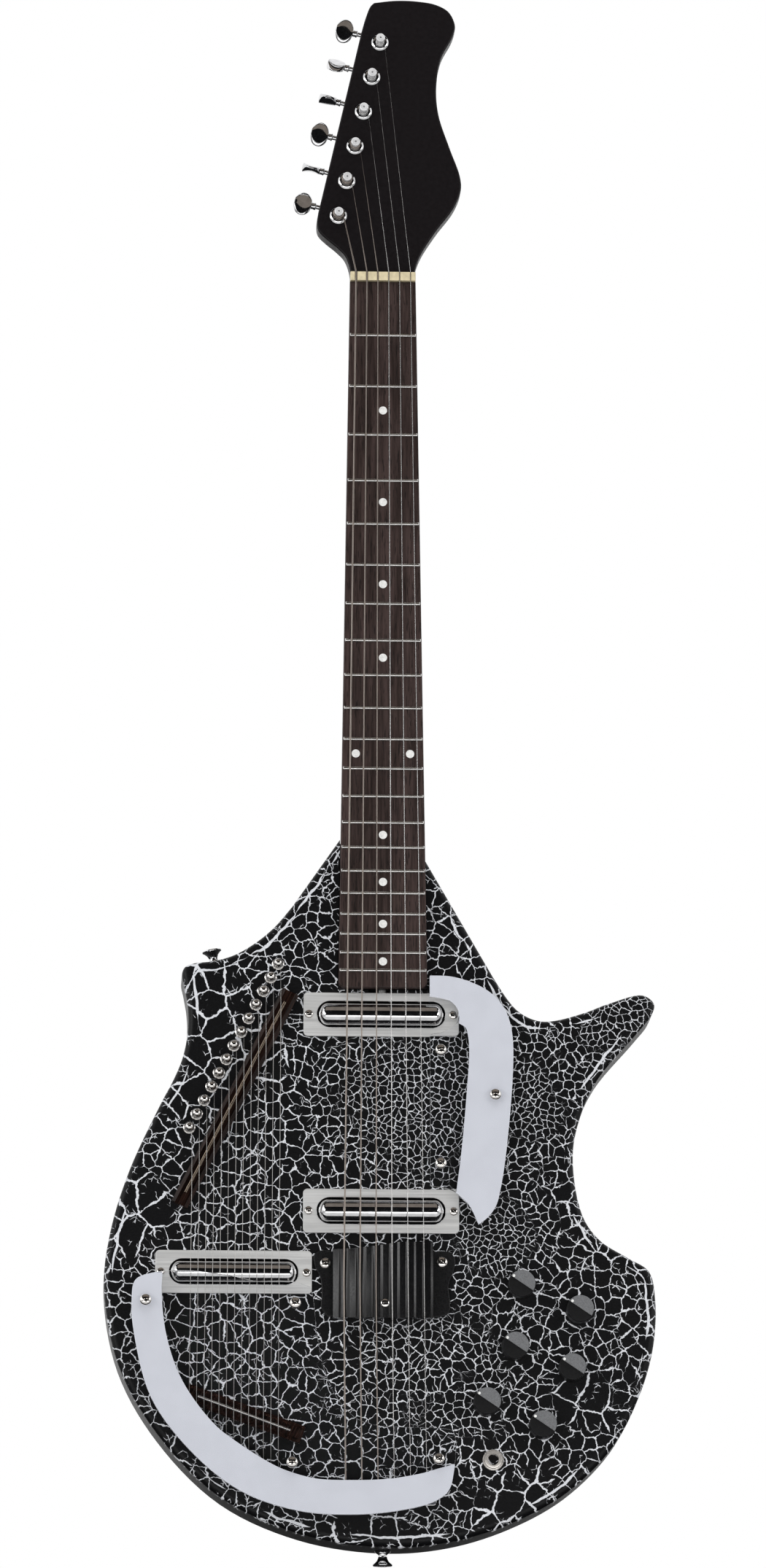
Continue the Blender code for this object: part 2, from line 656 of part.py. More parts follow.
def oval_button():
    """An oval plate that narrows from its root to a waist and is thickest at its tip."""
    root = BUTTON_REACH - BUTTON_LENGTH / 2
    oval = [Vector((BUTTON_WIDTH / 2 * math.cos(2 * math.pi * i / 14),
                    BUTTON_REACH + BUTTON_LENGTH / 2 * math.sin(2 * math.pi * i / 14))) for i in range(14)]
    button = slab(oval, -BUTTON_THICKNESS / 2, BUTTON_THICKNESS / 2, 1.3, 1)
    for share in (0.25, 0.5, 0.75):
        bmesh.ops.bisect_plane(button, geom=[*button.verts, *button.edges, *button.faces], dist=1e-4,
                               plane_co=(0, root + BUTTON_LENGTH * share, 0), plane_no=(0, 1, 0))
    for vertex in button.verts:
        share = (vertex.co.y - root) / BUTTON_LENGTH
        thickness = (BUTTON_ROOT * (1 - share) * (1 - 2 * share) + 4 * BUTTON_WAIST * share * (1 - share)
                     + BUTTON_THICKNESS * share * (2 * share - 1))
        vertex.co.z *= thickness / BUTTON_THICKNESS
    return button


def make_tuner(index):
    post = post_at(index)
    gear = WORM_Z - GEAR_THICKNESS / 2
    top = HEAD_FACE + POST_HEIGHT
    waist = HEAD_FACE + BUSHING_HEIGHT + 0.4
    r = POST_RADIUS
    profile = ((0, POST_BOTTOM), (r, POST_BOTTOM), (r, gear), (GEAR_RADIUS, gear),
               (GEAR_RADIUS, gear + GEAR_THICKNESS), (r, gear + GEAR_THICKNESS), (r, waist),
               (POST_WAIST, waist + 0.6), (POST_WAIST, top - 2.6), (r, top - 2.0), (r, top - 0.4),
               (r - 0.4, top), (1.3, top), (1.1, top - 1.8), (0, top - 1.8))
    base = [(radius, height - POST_BOTTOM) for radius, height in profile]
    thing(f"tuner_post_{index + 1}", turned(base, 10), chrome, (post.x, post.y, POST_BOTTOM))

    worm = post + POST_LINE * WORM_OFFSET
    shaft_end = BUTTON_REACH - BUTTON_LENGTH / 2
    shaft = turned(((0, -WORM_HALF_LENGTH), (WORM_RADIUS, -WORM_HALF_LENGTH), (WORM_RADIUS, WORM_HALF_LENGTH),
                    (SHAFT_RADIUS, WORM_HALF_LENGTH + 0.4), (SHAFT_RADIUS, shaft_end - 2.5),
                    (2.6, shaft_end - 1.0), (2.6, shaft_end + 1.2), (0, shaft_end + 1.2)), 7)
    button = moved(oval_button(), turn=Matrix.Rotation(math.radians(90), 4, "X"))
    aim = Vector((SHAFT_DIRECTION.x, SHAFT_DIRECTION.y, 0)).to_track_quat("Z", "Y")
    spin = Matrix.Rotation(math.radians(BUTTON_TURNS[index]), 3, "Z")
    turn = (aim.to_matrix() @ spin).to_euler()
    knob = thing(f"tuner_button_{index + 1}", button, chrome, (worm.x, worm.y, WORM_Z), turn)
    step = knob.modifiers.new("join", "BOOLEAN")
    step.operation = "UNION"
    stem = helper(knob.name + "_stem", shaft)
    stem.location, stem.rotation_euler = knob.location, knob.rotation_euler
    step.object = stem


# Sympathetic side

def make_peg(index):
    at = peg_at(index)
    seat = BODY_THICKNESS + FIT
    ball = seat + PEG_BALL_HEIGHT
    profile = [(0, seat - PEG_DEPTH), (PEG_SHANK, seat - PEG_DEPTH), (PEG_SHANK, seat),
               (PEG_COLLAR, seat), (PEG_COLLAR, seat + 0.9), (PEG_SHANK, seat + 1.3)]
    for step in range(1, 5):
        angle = math.radians(-50 + 140 * step / 4)
        profile.append((max(PEG_BALL * math.cos(angle), 0.0), ball + PEG_BALL * math.sin(angle)))
    profile[-1] = (0, ball + PEG_BALL)
    base = [(radius, height - seat) for radius, height in profile]
    thing(f"harp_peg_{index + 1}", turned(base, 8), chrome, (at.x, at.y, seat))


def drone_bar(name, ends):
    """A rosewood bar under the sympathetic strings, chamfered along its top, with one fret along it."""
    start, end = (Vector(p) for p in ends)
    run = (end - start).normalized()
    side = Vector((-run.y, run.x))
    seat = BODY_THICKNESS + FIT
    half = DRONE_BAR_WIDTH / 2
    bar_section = ((-half, seat), (half, seat), (half, DRONE_TOP - DRONE_CHAMFER),
                   (half - DRONE_CHAMFER, DRONE_TOP), (DRONE_CHAMFER - half, DRONE_TOP),
                   (-half, DRONE_TOP - DRONE_CHAMFER))
    fret_section = ((-1.0, DRONE_TOP - 0.6), (1.0, DRONE_TOP - 0.6), (1.0, DRONE_TOP + 0.5),
                    (0.4, DRONE_FRET_TOP), (-0.4, DRONE_FRET_TOP), (-1.0, DRONE_TOP + 0.5))

    def strip(section, inset):
        return loft([[Vector((*(p + side * across), z)) for across, z in section]
                     for p in (start + run * inset, end - run * inset)])

    join(thing(name, strip(bar_section, 0), rosewood), strip(fret_section, 8))


def make_sympathetic_strings():
    """Thirteen fine wires from the pegs over both drone frets to one anchor bar."""
    anchor_a, anchor_b = Vector((-122.5, -101.0)), Vector((-60.5, -131.0))
    run = (anchor_b - anchor_a).normalized()
    side = Vector((-run.y, run.x)) * 2.0
    seat = BODY_THICKNESS + FIT
    bar = slab([anchor_a - side, anchor_b - side, anchor_b + side, anchor_a + side], seat, seat + 3.0)
    node = thing("sympathetic_strings", bar, steel)
    over = DRONE_FRET_TOP + SYMPATHETIC_RADIUS + FIT
    wires = []
    for index in range(PEGS):
        peg = peg_at(index)
        x = peg.x + 1.0
        start = Vector((peg.x + 2.1, peg.y - PEG_BALL, seat + PEG_BALL_HEIGHT))
        upper = Vector((x + 0.6, upper_fret_y(x + 0.6), over))
        lower = Vector((x - 0.3, lower_fret_y(x - 0.3), over))
        foot_y = anchor_a.y + (x - anchor_a.x) * run.y / run.x
        wires.append(tube([start, upper, lower, Vector((x, foot_y, seat + 2.0))], SYMPATHETIC_RADIUS))
    join(node, merged(*wires))


UPPER_BAR = ((-57.2, 175.2), (-125.4, 41.0))
LOWER_BAR = ((-121.0, -76.0), (-49.3, -102.1))


def on_line(ends, x):
    (x0, y0), (x1, y1) = ends
    return y0 + (x - x0) * (y1 - y0) / (x1 - x0)


def upper_fret_y(x):
    return on_line(UPPER_BAR, x)


def lower_fret_y(x):
    return on_line(LOWER_BAR, x)


# Pickups

def make_pickup(name, centre):
    x, y = centre
    lay = Matrix.Rotation(math.radians(90), 4, "Y")
    r, half = TUBE_RADIUS, TUBE_LENGTH / 2
    dome = [(0, -half), (r * 0.55, -half + r * 0.18), (r * 0.87, -half + r * 0.5), (r, -half + r)]
    profile = dome + [(radius, -height) for radius, height in reversed(dome)]
    thing(f"pickup_tube_{name}", turned(profile, 14), chrome, (x, y, TUBE_CENTRE), lay.to_euler())
    seat = BODY_THICKNESS + FIT
    ring = rectangle(x - RING_LENGTH / 2, y - RING_WIDTH / 2, x + RING_LENGTH / 2, y + RING_WIDTH / 2, 2.8, 2)
    node = thing(f"pickup_ring_{name}", slab(ring, seat, RING_TOP, 0.5, 1), brushed)
    cut(node, slab(slot_shape(x, y, TUBE_LENGTH + 0.8, 2 * TUBE_RADIUS + 0.8), seat - 5, RING_TOP + 5))
    heads = [moved(screw_head(2.6, 1.5), x + way * (RING_LENGTH / 2 - 3.4), y, RING_TOP - 0.4)
             for way in (-1, 1)]
    join(node, merged(*heads))


def screw_head(radius, height, sides=7):
    return turned(((0, 0), (radius, 0), (radius, height * 0.35), (radius * 0.75, height * 0.8),
                   (radius * 0.3, height), (0, height)), sides)


# Bridge

def make_buzz_bridge():
    seat = BODY_THICKNESS + FIT
    plate = thing("buzz_bridge_plate", slab(outline(PLATE_OUTLINE), seat, PLATE_TOP, 0.5, 1), black_plastic)
    heads = [moved(screw_head(2.8, 1.6), x, y, PLATE_TOP - 0.4) for x, y in ((-35.2, 5.3), (36.6, 6.4))]
    join(plate, merged(*heads))

    bottom = PLATE_TOP + FIT
    rings = []
    for share in (0.0, 0.3, 0.7, 1.0):
        ring = [(BLOCK_HALF_WIDTH, bottom), (-BLOCK_HALF_WIDTH, bottom)]
        crown = BLOCK_CROWN * (1 - (2 * share - 1) ** 2)
        pitch = 2 * BLOCK_HALF_WIDTH / RIDGES
        for ridge in range(RIDGES):
            left = -BLOCK_HALF_WIDTH + pitch * ridge
            for place, drop in ((0.0, 1.0), (0.12, 0.0), (0.62, 0.0), (0.78, 1.0)):
                ring.append((left + pitch * place, BLOCK_TOP - BLOCK_CROWN + crown - RIDGE_DEPTH * drop))
        ring.append((BLOCK_HALF_WIDTH, BLOCK_TOP - BLOCK_CROWN + crown - RIDGE_DEPTH))
        rings.append([Vector((x, block_edge(x, share), z)) for x, z in ring])
    thing("buzz_bridge_block", loft(rings), black_plastic)


def block_edge(x, share):
    """The block's lower edge is straight and its upper edge slants up to the right."""
    lower = -29.2
    upper = 13.1 + 5.0 * min(max((x + BLOCK_HALF_WIDTH) / (1.35 * BLOCK_HALF_WIDTH), 0.0), 1.0) ** 1.6
    return lower + (upper - lower) * share


# Playing strings

def wrap_points(post, radius, leave):
    """A wire wound down round a post's waist, ending where it leaves towards the nut."""
    reach = POST_WAIST + FIT + radius
    pitch = 2 * radius + LEAST_SELF_GAP + 0.06
    steps = 9
    top = HEAD_FACE + BUSHING_HEIGHT + 1.0 + radius + pitch * WRAPS
    points = []
    for step in range(WRAPS * steps + 1):
        angle = leave + 2 * math.pi * (step - WRAPS * steps) / steps
        points.append(Vector((post.x + reach * math.cos(angle), post.y + reach * math.sin(angle),
                              top - pitch * step / steps)))
    return points


def wire_self_gap(points, radius):
    """The least distance between turns of one wire, from surface to surface."""
    least = 1e9
    for i, p in enumerate(points):
        for q in points[i + 6:]:
            least = min(least, (p - q).length - 2 * radius)
    return least


def make_playing_strings():
    seat = BODY_THICKNESS + FIT
    lip_y, lip_top = -134.0, BODY_THICKNESS + 8.5
    tail = slab(rectangle(-30.0, lip_y - 10.0, 33.0, lip_y + 1.2, 2.0, 2), seat, seat + 1.6)
    node = thing("playing_strings", tail, chrome)
    join(node, slab(rectangle(-28.0, lip_y - 2.0, 32.0, lip_y), seat + 0.8, lip_top))
    wires = []
    gap = 1e9
    for index in range(TUNERS):
        radius = STRING_RADII[index]
        post = post_at(TUNERS - 1 - index)
        nut = Vector((NUT_STRING_X + NUT_STRING_STEP * index, SCALE_LENGTH + NUT_LENGTH / 2))
        way = (nut - post).normalized()
        leave = math.atan2(way.y, way.x) + math.pi / 2
        wound = wrap_points(post, radius, leave)
        x_bridge = BRIDGE_STRING_X + BRIDGE_STRING_STEP * index
        x_tail = TAIL_STRING_X + TAIL_STRING_STEP * index
        over = BLOCK_TOP + radius + FIT
        path = wound + [
            Vector((nut.x, SCALE_LENGTH + NUT_LENGTH, nut_string_z())),
            Vector((nut.x, SCALE_LENGTH, nut_string_z())),
            Vector((x_bridge, -2.0, over)),
            Vector((x_bridge, -9.0, over)),
            Vector((x_tail, lip_y - 1.0, lip_top - 1.8)),
        ]
        wires.append(tube(path, radius))
        gap = min(gap, wire_self_gap(wound, radius))
    join(node, merged(*wires))
    print(f"least gap between the turns on a post: {gap:.2f} mm")


# Clear plates

def clear_plate(name, chains, underside, thickness, screws, corner):
    plate = thing(name, slab(outline(chains), underside, underside + thickness, corner, 1), acrylic)
    seat = BODY_THICKNESS + FIT
    stacks = []
    for x, y in screws:
        top = underside + thickness - 0.5
        head = screw_head(SCREW_HEAD, 2.8)
        stacks.append(moved(head, x, y, top))
    join(plate, merged(*stacks))
    spacers = [pin(x, y, SPACER_RADIUS, seat, underside + thickness / 2, 8) for x, y in screws]
    join(plate, merged(*spacers))


# Controls

def make_knob(index):
    x, y = KNOBS[index]
    seat = BODY_THICKNESS + FIT + 0.4
    shaft_bottom = CAVITY_CEILING - 9.0 - seat
    r, height = KNOB_RADIUS, KNOB_HEIGHT
    low = height - KNOB_STEP
    profile = ((0, shaft_bottom), (KNOB_SHAFT, shaft_bottom), (KNOB_SHAFT, 0), (r, 0),
               (r, low - 0.4), (r - 0.4, low), (0, low))
    turn = (0, 0, math.radians(KNOB_POINTER_DEG - 180))
    knob = thing(f"knob_{index + 1}", turned(profile, 16), black_plastic, (x, y, seat), turn)
    half_moon = [Vector((0.985 * r * math.cos(math.pi * i / 8), 0.985 * r * math.sin(math.pi * i / 8)))
                 for i in range(9)]
    cap = helper(knob.name + "_half_moon", slab(half_moon, low - 1.0, height))
    cap.location, cap.rotation_euler = knob.location, knob.rotation_euler
    step = knob.modifiers.new("join", "BOOLEAN")
    step.operation = "UNION"
    step.object = cap


def make_control_plate():
    """The shield plate under the top with the six potentiometers that the knobs turn."""
    top = CAVITY_CEILING - FIT
    plate = thing("control_plate", slab(rounded(CAVITY_CORE, CAVITY_RADIUS - 1.0), top - 1.2, top), steel)
    join(plate, merged(*[pin(x, y, POT_RADIUS, top - 1.2 - POT_HEIGHT, top - 0.6, 10) for x, y in KNOBS]))
    bores = [hole(x, y, KNOB_SHAFT + RUNNING_CLEARANCE, top - POT_HEIGHT, top + 5, 7) for x, y in KNOBS]
    bores.append(hole(*JACK_AT, JACK_TUBE + FIT, top - 5, top + 5))
    cut(plate, merged(*bores))


def make_jack():
    seat = BODY_THICKNESS + FIT
    bottom = -seat + 14.0
    profile = ((JACK_BORE, bottom), (JACK_TUBE + 1.5, bottom), (JACK_TUBE + 1.5, bottom + 6),
               (JACK_TUBE, bottom + 6), (JACK_TUBE, 0), (JACK_NUT, 0), (JACK_NUT, 0.9),
               (JACK_NUT - 0.9, 0.9), (JACK_NUT - 0.9, 2.8), (JACK_BORE, 2.8), (JACK_BORE, bottom))
    thing("output_jack", turned(profile, 14), chrome, (JACK_AT.x, JACK_AT.y, seat))


def make_cover():
    line = rounded(CAVITY_CORE, CAVITY_RADIUS + COVER_LEDGE - FIT)
    thing("control_cavity_cover", slab(line, FIT, FIT + COVER_THICKNESS), black_plastic)


def make_neck_plate():
    w, length = NECK_PLATE
    line = rectangle(-w / 2, NECK_PLATE_Y - length / 2, w / 2, NECK_PLATE_Y + length / 2, 4.7)
    plate = thing("neck_plate", slab(line, FIT, FIT + NECK_PLATE_THICKNESS), chrome)
    shanks = [pin(x, y, NECK_SCREW_RADIUS, FIT + NECK_PLATE_THICKNESS / 2, HEEL_BOTTOM + 8, 8)
              for x, y in neck_screws()]
    join(plate, merged(*shanks))


def make_strap_button(name, at, direction):
    profile = ((0, 0), (4.6, 0), (4.6, 0.8), (3.0, 2.2), (3.0, 5.2), (STRAP_BUTTON_RADIUS, STRAP_BUTTON_HEIGHT - 1.2),
               (STRAP_BUTTON_RADIUS, STRAP_BUTTON_HEIGHT - 0.3), (STRAP_BUTTON_RADIUS - 0.6, STRAP_BUTTON_HEIGHT),
               (0, STRAP_BUTTON_HEIGHT))
    aim = Vector(direction).to_track_quat("Z", "Y").to_euler()
    thing(name, turned(profile, 12), chrome, at, aim)


clear_scene()
instrument = bpy.data.objects.new("instrument", None)
bpy.context.scene.collection.objects.link(instrument)
instrument.rotation_euler = (math.radians(90), 0, 0)

crackle = finish("black_crackle_lacquer", (0.02, 0.02, 0.02), 0.35, 0.0)
black_lacquer = finish("black_lacquer", (0.02, 0.02, 0.022), 0.4, 0.0)
black_plastic = finish("black_plastic", (0.03, 0.03, 0.03), 0.5, 0.0)
rosewood = finish("rosewood", (0.16, 0.08, 0.05), 0.6, 0.0)
bone = finish("cream_nut", (0.78, 0.7, 0.5), 0.5, 0.0)
chrome = finish("chrome", (0.8, 0.8, 0.8), 0.1, 1.0)
brushed = finish("brushed_aluminium", (0.75, 0.75, 0.75), 0.35, 1.0)
steel = finish("string_steel", (0.6, 0.6, 0.6), 0.3, 1.0)
acrylic = finish("clear_acrylic", (0.9, 0.9, 0.92), 0.05, 0.0)

make_body()
make_cover()
make_neck()
make_truss_rod()
make_fretboard()
make_nut()
make_neck_plate()
make_tuner_plate()
for number in range(TUNERS):
    make_tuner(number)
for number in range(PEGS):
    make_peg(number)
drone_bar("upper_drone_bridge", UPPER_BAR)
drone_bar("lower_drone_bridge", LOWER_BAR)
make_sympathetic_strings()
for pickup, place in PICKUPS.items():
    make_pickup(pickup, place)
make_buzz_bridge()
make_playing_strings()
clear_plate("pickguard", GUARD_OUTLINE, GUARD_UNDERSIDE, GUARD_THICKNESS, GUARD_SCREWS, 0.4)
clear_plate("armrest", REST_OUTLINE, REST_UNDERSIDE, REST_THICKNESS, REST_SCREWS, 0.4)
for number in range(len(KNOBS)):
    make_knob(number)
make_control_plate()
make_jack()
make_strap_button("strap_button_end", (1.0, STRAP_END_Y, BODY_THICKNESS / 2), (0, -1, 0))
make_strap_button("strap_button_side", (STRAP_SIDE_X, 196.7, BODY_THICKNESS / 2), (-0.2, 1, 0))
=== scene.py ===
# %% [markdown]
# # An electric sitar in black crackle lacquer
#
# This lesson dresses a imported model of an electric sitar. The frame gives the bodies that move and the
# box of every part, in metres, with the face of the instrument towards -Y and the neck along +Z. Each
# piece below is drawn as if the instrument lay on a bench, in millimetres, because that is how a maker
# thinks of it, and is then stood up.

# %% Load the frame
import json
import math

import bmesh
import bpy
from mathutils import Matrix, Vector
from mathutils.kdtree import KDTree

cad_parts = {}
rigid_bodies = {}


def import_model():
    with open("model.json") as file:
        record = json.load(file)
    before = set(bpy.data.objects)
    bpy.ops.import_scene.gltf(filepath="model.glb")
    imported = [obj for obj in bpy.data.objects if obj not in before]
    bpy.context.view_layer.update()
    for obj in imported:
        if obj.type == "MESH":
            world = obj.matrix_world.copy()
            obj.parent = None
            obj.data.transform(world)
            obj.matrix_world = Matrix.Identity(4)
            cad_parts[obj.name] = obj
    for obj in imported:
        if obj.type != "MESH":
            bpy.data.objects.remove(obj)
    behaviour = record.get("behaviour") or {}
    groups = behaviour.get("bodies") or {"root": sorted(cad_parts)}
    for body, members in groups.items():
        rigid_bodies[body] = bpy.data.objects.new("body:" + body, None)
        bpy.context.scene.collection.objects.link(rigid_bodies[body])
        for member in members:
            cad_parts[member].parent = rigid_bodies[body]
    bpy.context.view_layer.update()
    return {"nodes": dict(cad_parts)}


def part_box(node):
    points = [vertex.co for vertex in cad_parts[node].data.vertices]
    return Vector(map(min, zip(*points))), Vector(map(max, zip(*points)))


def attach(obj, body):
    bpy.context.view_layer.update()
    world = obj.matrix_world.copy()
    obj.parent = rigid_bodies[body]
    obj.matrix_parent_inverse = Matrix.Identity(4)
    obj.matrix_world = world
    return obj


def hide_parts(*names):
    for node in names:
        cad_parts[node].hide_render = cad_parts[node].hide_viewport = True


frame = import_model()

# %% [markdown]
# ## Camera
#
# A product photograph is taken from far off with a long lens, which keeps parallel lines parallel. Here
# the camera stands about 4.5 m in front, a little low and to the left, and looks up by 13 degrees. A lens
# of 112 mm on a 24 mm high sensor gives the photograph's frame.

# %% The camera
scene = bpy.context.scene
PITCH = math.radians(12.87)
YAW = math.radians(2.58)
SENSOR = 24
FOCAL_LENGTH = 111.63


def placed(name, data, at=(0, 0, 0), turn=(0, 0, 0)):
    """A new object in the scene, at a place and turned by three angles."""
    made = bpy.data.objects.new(name, data)
    scene.collection.objects.link(made)
    made.location = at
    made.rotation_euler = turn
    return made


lens = bpy.data.cameras.new("camera")
lens.sensor_fit = "VERTICAL"
lens.sensor_height = SENSOR
lens.lens = FOCAL_LENGTH
lens.clip_end = 100
camera = placed("camera", lens, (-0.2, -4.4876, -0.7078), (math.radians(90) + PITCH, 0, -YAW))
scene.camera = camera
scene.view_settings.view_transform = "Standard"

# %% [markdown]
# ## Sizes that several pieces share
#
# Heights are counted from the flat back of the body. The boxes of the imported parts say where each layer
# lies, so that a piece drawn here sits on the one that carries it.

# %% Heights above the back
MM = 0.001
UPRIGHT = Matrix.Rotation(math.radians(90), 4, "X") @ Matrix.Scale(MM, 4)


def height_of(node):
    """How high a part's face stands above the back of the body, in millimetres."""
    return -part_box(node)[0].y / MM


GAP = 0.3
BODY_TOP = height_of("body")
SEAT = BODY_TOP + GAP
BOARD_TOP = 48.3
BOARD_BOTTOM = 42.8
HEAD_FACE = 40.5
HEAD_BACK = 27.0
SCALE_LENGTH = 635.0
NUT_LENGTH = 5.6
STRING_AT_NUT = height_of("nut") - 0.3
TUNERS = 6
PEGS = 13
FIRST_POST = Vector((-1.6, 796.5))
LAST_POST = Vector((-28.1, 680.2))
POST_LINE = (FIRST_POST - LAST_POST).normalized()
SHAFT_LINE = Vector((-POST_LINE.y, POST_LINE.x))
print("body:", round(BODY_TOP, 1), "mm thick, strings", round(STRING_AT_NUT, 1), "mm up at the nut")

# %% [markdown]
# ## Helpers for shapes
#
# Most pieces of a guitar are flat plates with a shaped outline and rounded rims, or things turned on a
# lathe. One helper makes a smooth outline through a few given points, one extrudes it and bevels
# its rims, and one spins a profile. A last helper stands a finished mesh up and lets it ride on its body.

# %% Outlines


def smooth_line(points, steps=7):
    """A centripetal Catmull-Rom curve through the points. Two points stay a straight edge."""
    knots = [Vector(p) for p in points]
    if len(knots) == 2:
        return knots
    knots = [2 * knots[0] - knots[1], *knots, 2 * knots[-1] - knots[-2]]
    curve = [knots[1]]
    for a, b, c, d in zip(knots, knots[1:], knots[2:], knots[3:]):
        t1 = (b - a).length ** 0.5
        t2 = t1 + (c - b).length ** 0.5
        t3 = t2 + (d - c).length ** 0.5
        for step in range(1, steps + 1):
            t = t1 + (t2 - t1) * step / steps
            ab = a.lerp(b, t / t1)
            bc = b.lerp(c, (t - t1) / (t2 - t1))
            cd = c.lerp(d, (t - t2) / (t3 - t2))
            first, second = ab.lerp(bc, t / t2), bc.lerp(cd, (t - t1) / (t3 - t1))
            curve.append(first.lerp(second, (t - t1) / (t2 - t1)))
    return curve


def outline(*chains, steps=7):
    """One closed line from smooth chains that meet at corners."""
    line = []
    for chain in chains:
        line += smooth_line(chain, steps)[:-1]
    last = Vector(chains[-1][-1])
    if (last - line[0]).length > 0.001:
        line.append(last)
    return line


# %% Rounded outlines and arcs


def rounded(core, radius, steps=8):
    """The line at one distance round a convex core, counterclockwise, with arcs at its corners."""
    core = list(core)
    line = []
    for before, corner, after in zip(core[-1:] + core[:-1], core, core[1:] + core[:1]):
        arriving = Vector(corner) - Vector(before)
        leaving = Vector(after) - Vector(corner)
        start = math.atan2(-arriving.x, arriving.y)
        turn = (math.atan2(-leaving.x, leaving.y) - start) % (2 * math.pi)
        for step in range(steps + 1):
            angle = start + turn * step / steps
            line.append(Vector(corner) + radius * Vector((math.cos(angle), math.sin(angle))))
    return line


def rounded_box(x0, x1, y0, y1, radius, steps=8):
    left, right, low, high = x0 + radius, x1 - radius, y0 + radius, y1 - radius
    return rounded(((left, low), (right, low), (right, high), (left, high)), radius, steps)


def arc(x, y, wide, high, first, last, steps):
    """Points along an ellipse's arc between two angles in degrees."""
    angles = (math.radians(first + (last - first) * i / steps) for i in range(steps + 1))
    return [(x + wide * math.cos(a), y + high * math.sin(a)) for a in angles]


# %% Plates


def plate(line, z0, z1, rim=0.0, segments=3, top_only=False):
    """An outline extruded from z0 up to z1, with its rims rounded."""
    bm = bmesh.new()
    floor = bm.faces.new([bm.verts.new((x, y, z0)) for x, y in line])
    raised = bmesh.ops.extrude_face_region(bm, geom=[floor])["geom"]
    top = [v for v in raised if isinstance(v, bmesh.types.BMVert)]
    bmesh.ops.translate(bm, vec=(0, 0, z1 - z0), verts=top)
    bmesh.ops.recalc_face_normals(bm, faces=bm.faces)
    if rim:
        flat = [e for e in bm.edges if abs(e.verts[0].co.z - e.verts[1].co.z) < 1e-6]
        if top_only:
            flat = [e for e in flat if e.verts[0].co.z > (z0 + z1) / 2]
        bmesh.ops.bevel(bm, geom=flat, offset=rim, segments=segments, profile=0.5, affect="EDGES",
                        clamp_overlap=True, material=-1)
    return bm


def long_plate(x, y, half_length, half_width, radius, *heights, steps=8):
    """A plate about its middle. The heights are those of its two faces, then its rim if it has one."""
    line = rounded_box(x - half_length, x + half_length, y - half_width, y + half_width, radius, steps)
    return plate(line, *heights)


# %% Turned and swept solids


def turned(profile, sides=32):
    """A profile of (radius, height) pairs turned about the z axis."""
    bm = bmesh.new()
    points = [bm.verts.new((radius, 0, height)) for radius, height in profile]
    edges = [bm.edges.new(pair) for pair in zip(points, points[1:])]
    bmesh.ops.spin(bm, geom=points + edges, cent=(0, 0, 0), axis=(0, 0, 1), angle=2 * math.pi,
                   steps=sides, use_merge=True, use_duplicate=False)
    bmesh.ops.remove_doubles(bm, verts=bm.verts, dist=1e-4)
    bmesh.ops.recalc_face_normals(bm, faces=bm.faces)
    return bm


def disc(radius, low, high, sides=32):
    return turned([(0, low), (radius, low), (radius, high), (0, high)], sides)


def swept(rings):
    """A closed skin over rings of as many points each, with a flat cap at each end."""
    bm = bmesh.new()
    loops = []
    for ring in rings:
        verts = [bm.verts.new(p) for p in ring]
        loops.append([bm.edges.new(pair) for pair in zip(verts, verts[1:] + verts[:1])])
        if ring in (rings[0], rings[-1]):
            bm.faces.new(verts)
    for first, second in zip(loops, loops[1:]):
        bmesh.ops.bridge_loops(bm, edges=first + second)
    bmesh.ops.recalc_face_normals(bm, faces=bm.faces)
    return bm


# %% Turning and moving


def about(axis, degrees):
    return Matrix.Rotation(math.radians(degrees), 4, axis)


def pointing(way):
    """The turn that lays a thing's z axis along a direction."""
    return Vector(way).to_track_quat("Z", "Y").to_matrix().to_4x4()


def moved(bm, x=0.0, y=0.0, z=0.0, turn=None):
    if turn:
        bmesh.ops.transform(bm, matrix=turn, verts=bm.verts)
    bmesh.ops.translate(bm, vec=(x, y, z), verts=bm.verts)
    return bm


# %% Joining and cutting


def mesh_of(name, bm):
    """A solid as a named mesh. The solid itself is used up."""
    mesh = bpy.data.meshes.new(name)
    bm.to_mesh(mesh)
    bm.free()
    return mesh


def solid_of(*meshes):
    """Meshes as one solid. The meshes themselves are used up."""
    bm = bmesh.new()
    for mesh in meshes:
        bm.from_mesh(mesh)
        bpy.data.meshes.remove(mesh)
    return bm


def together(*solids):
    """Several solids as one."""
    return solid_of(*[mesh_of("part", bm) for bm in solids])


def carved(bm, tool, operation="DIFFERENCE"):
    """A solid with another one cut from it or joined to it."""
    blank, cutter = placed("blank", mesh_of("blank", bm)), placed("cutter", mesh_of("cutter", tool))
    step = blank.modifiers.new("carve", "BOOLEAN")
    step.operation = operation
    step.object = cutter
    seen = blank.evaluated_get(bpy.context.evaluated_depsgraph_get())
    result = solid_of(bpy.data.meshes.new_from_object(seen))
    for thing in (blank, cutter):
        old = thing.data
        bpy.data.objects.remove(thing)
        bpy.data.meshes.remove(old)
    return result


# %% Wires


def wire(points, radius, sides=4):
    """A round wire through the points."""
    curve = bpy.data.curves.new("wire", "CURVE")
    curve.dimensions = "3D"
    curve.bevel_depth = radius
    curve.bevel_resolution = sides
    curve.use_fill_caps = True
    spline = curve.splines.new("POLY")
    spline.points.add(len(points) - 1)
    for knot, point in zip(spline.points, points):
        knot.co = (*point, 1.0)
    guide = bpy.data.objects.new("wire", curve)
    bm = solid_of(bpy.data.meshes.new_from_object(guide))
    bpy.data.objects.remove(guide)
    bpy.data.curves.remove(curve)
    return bm


# %% A finished piece


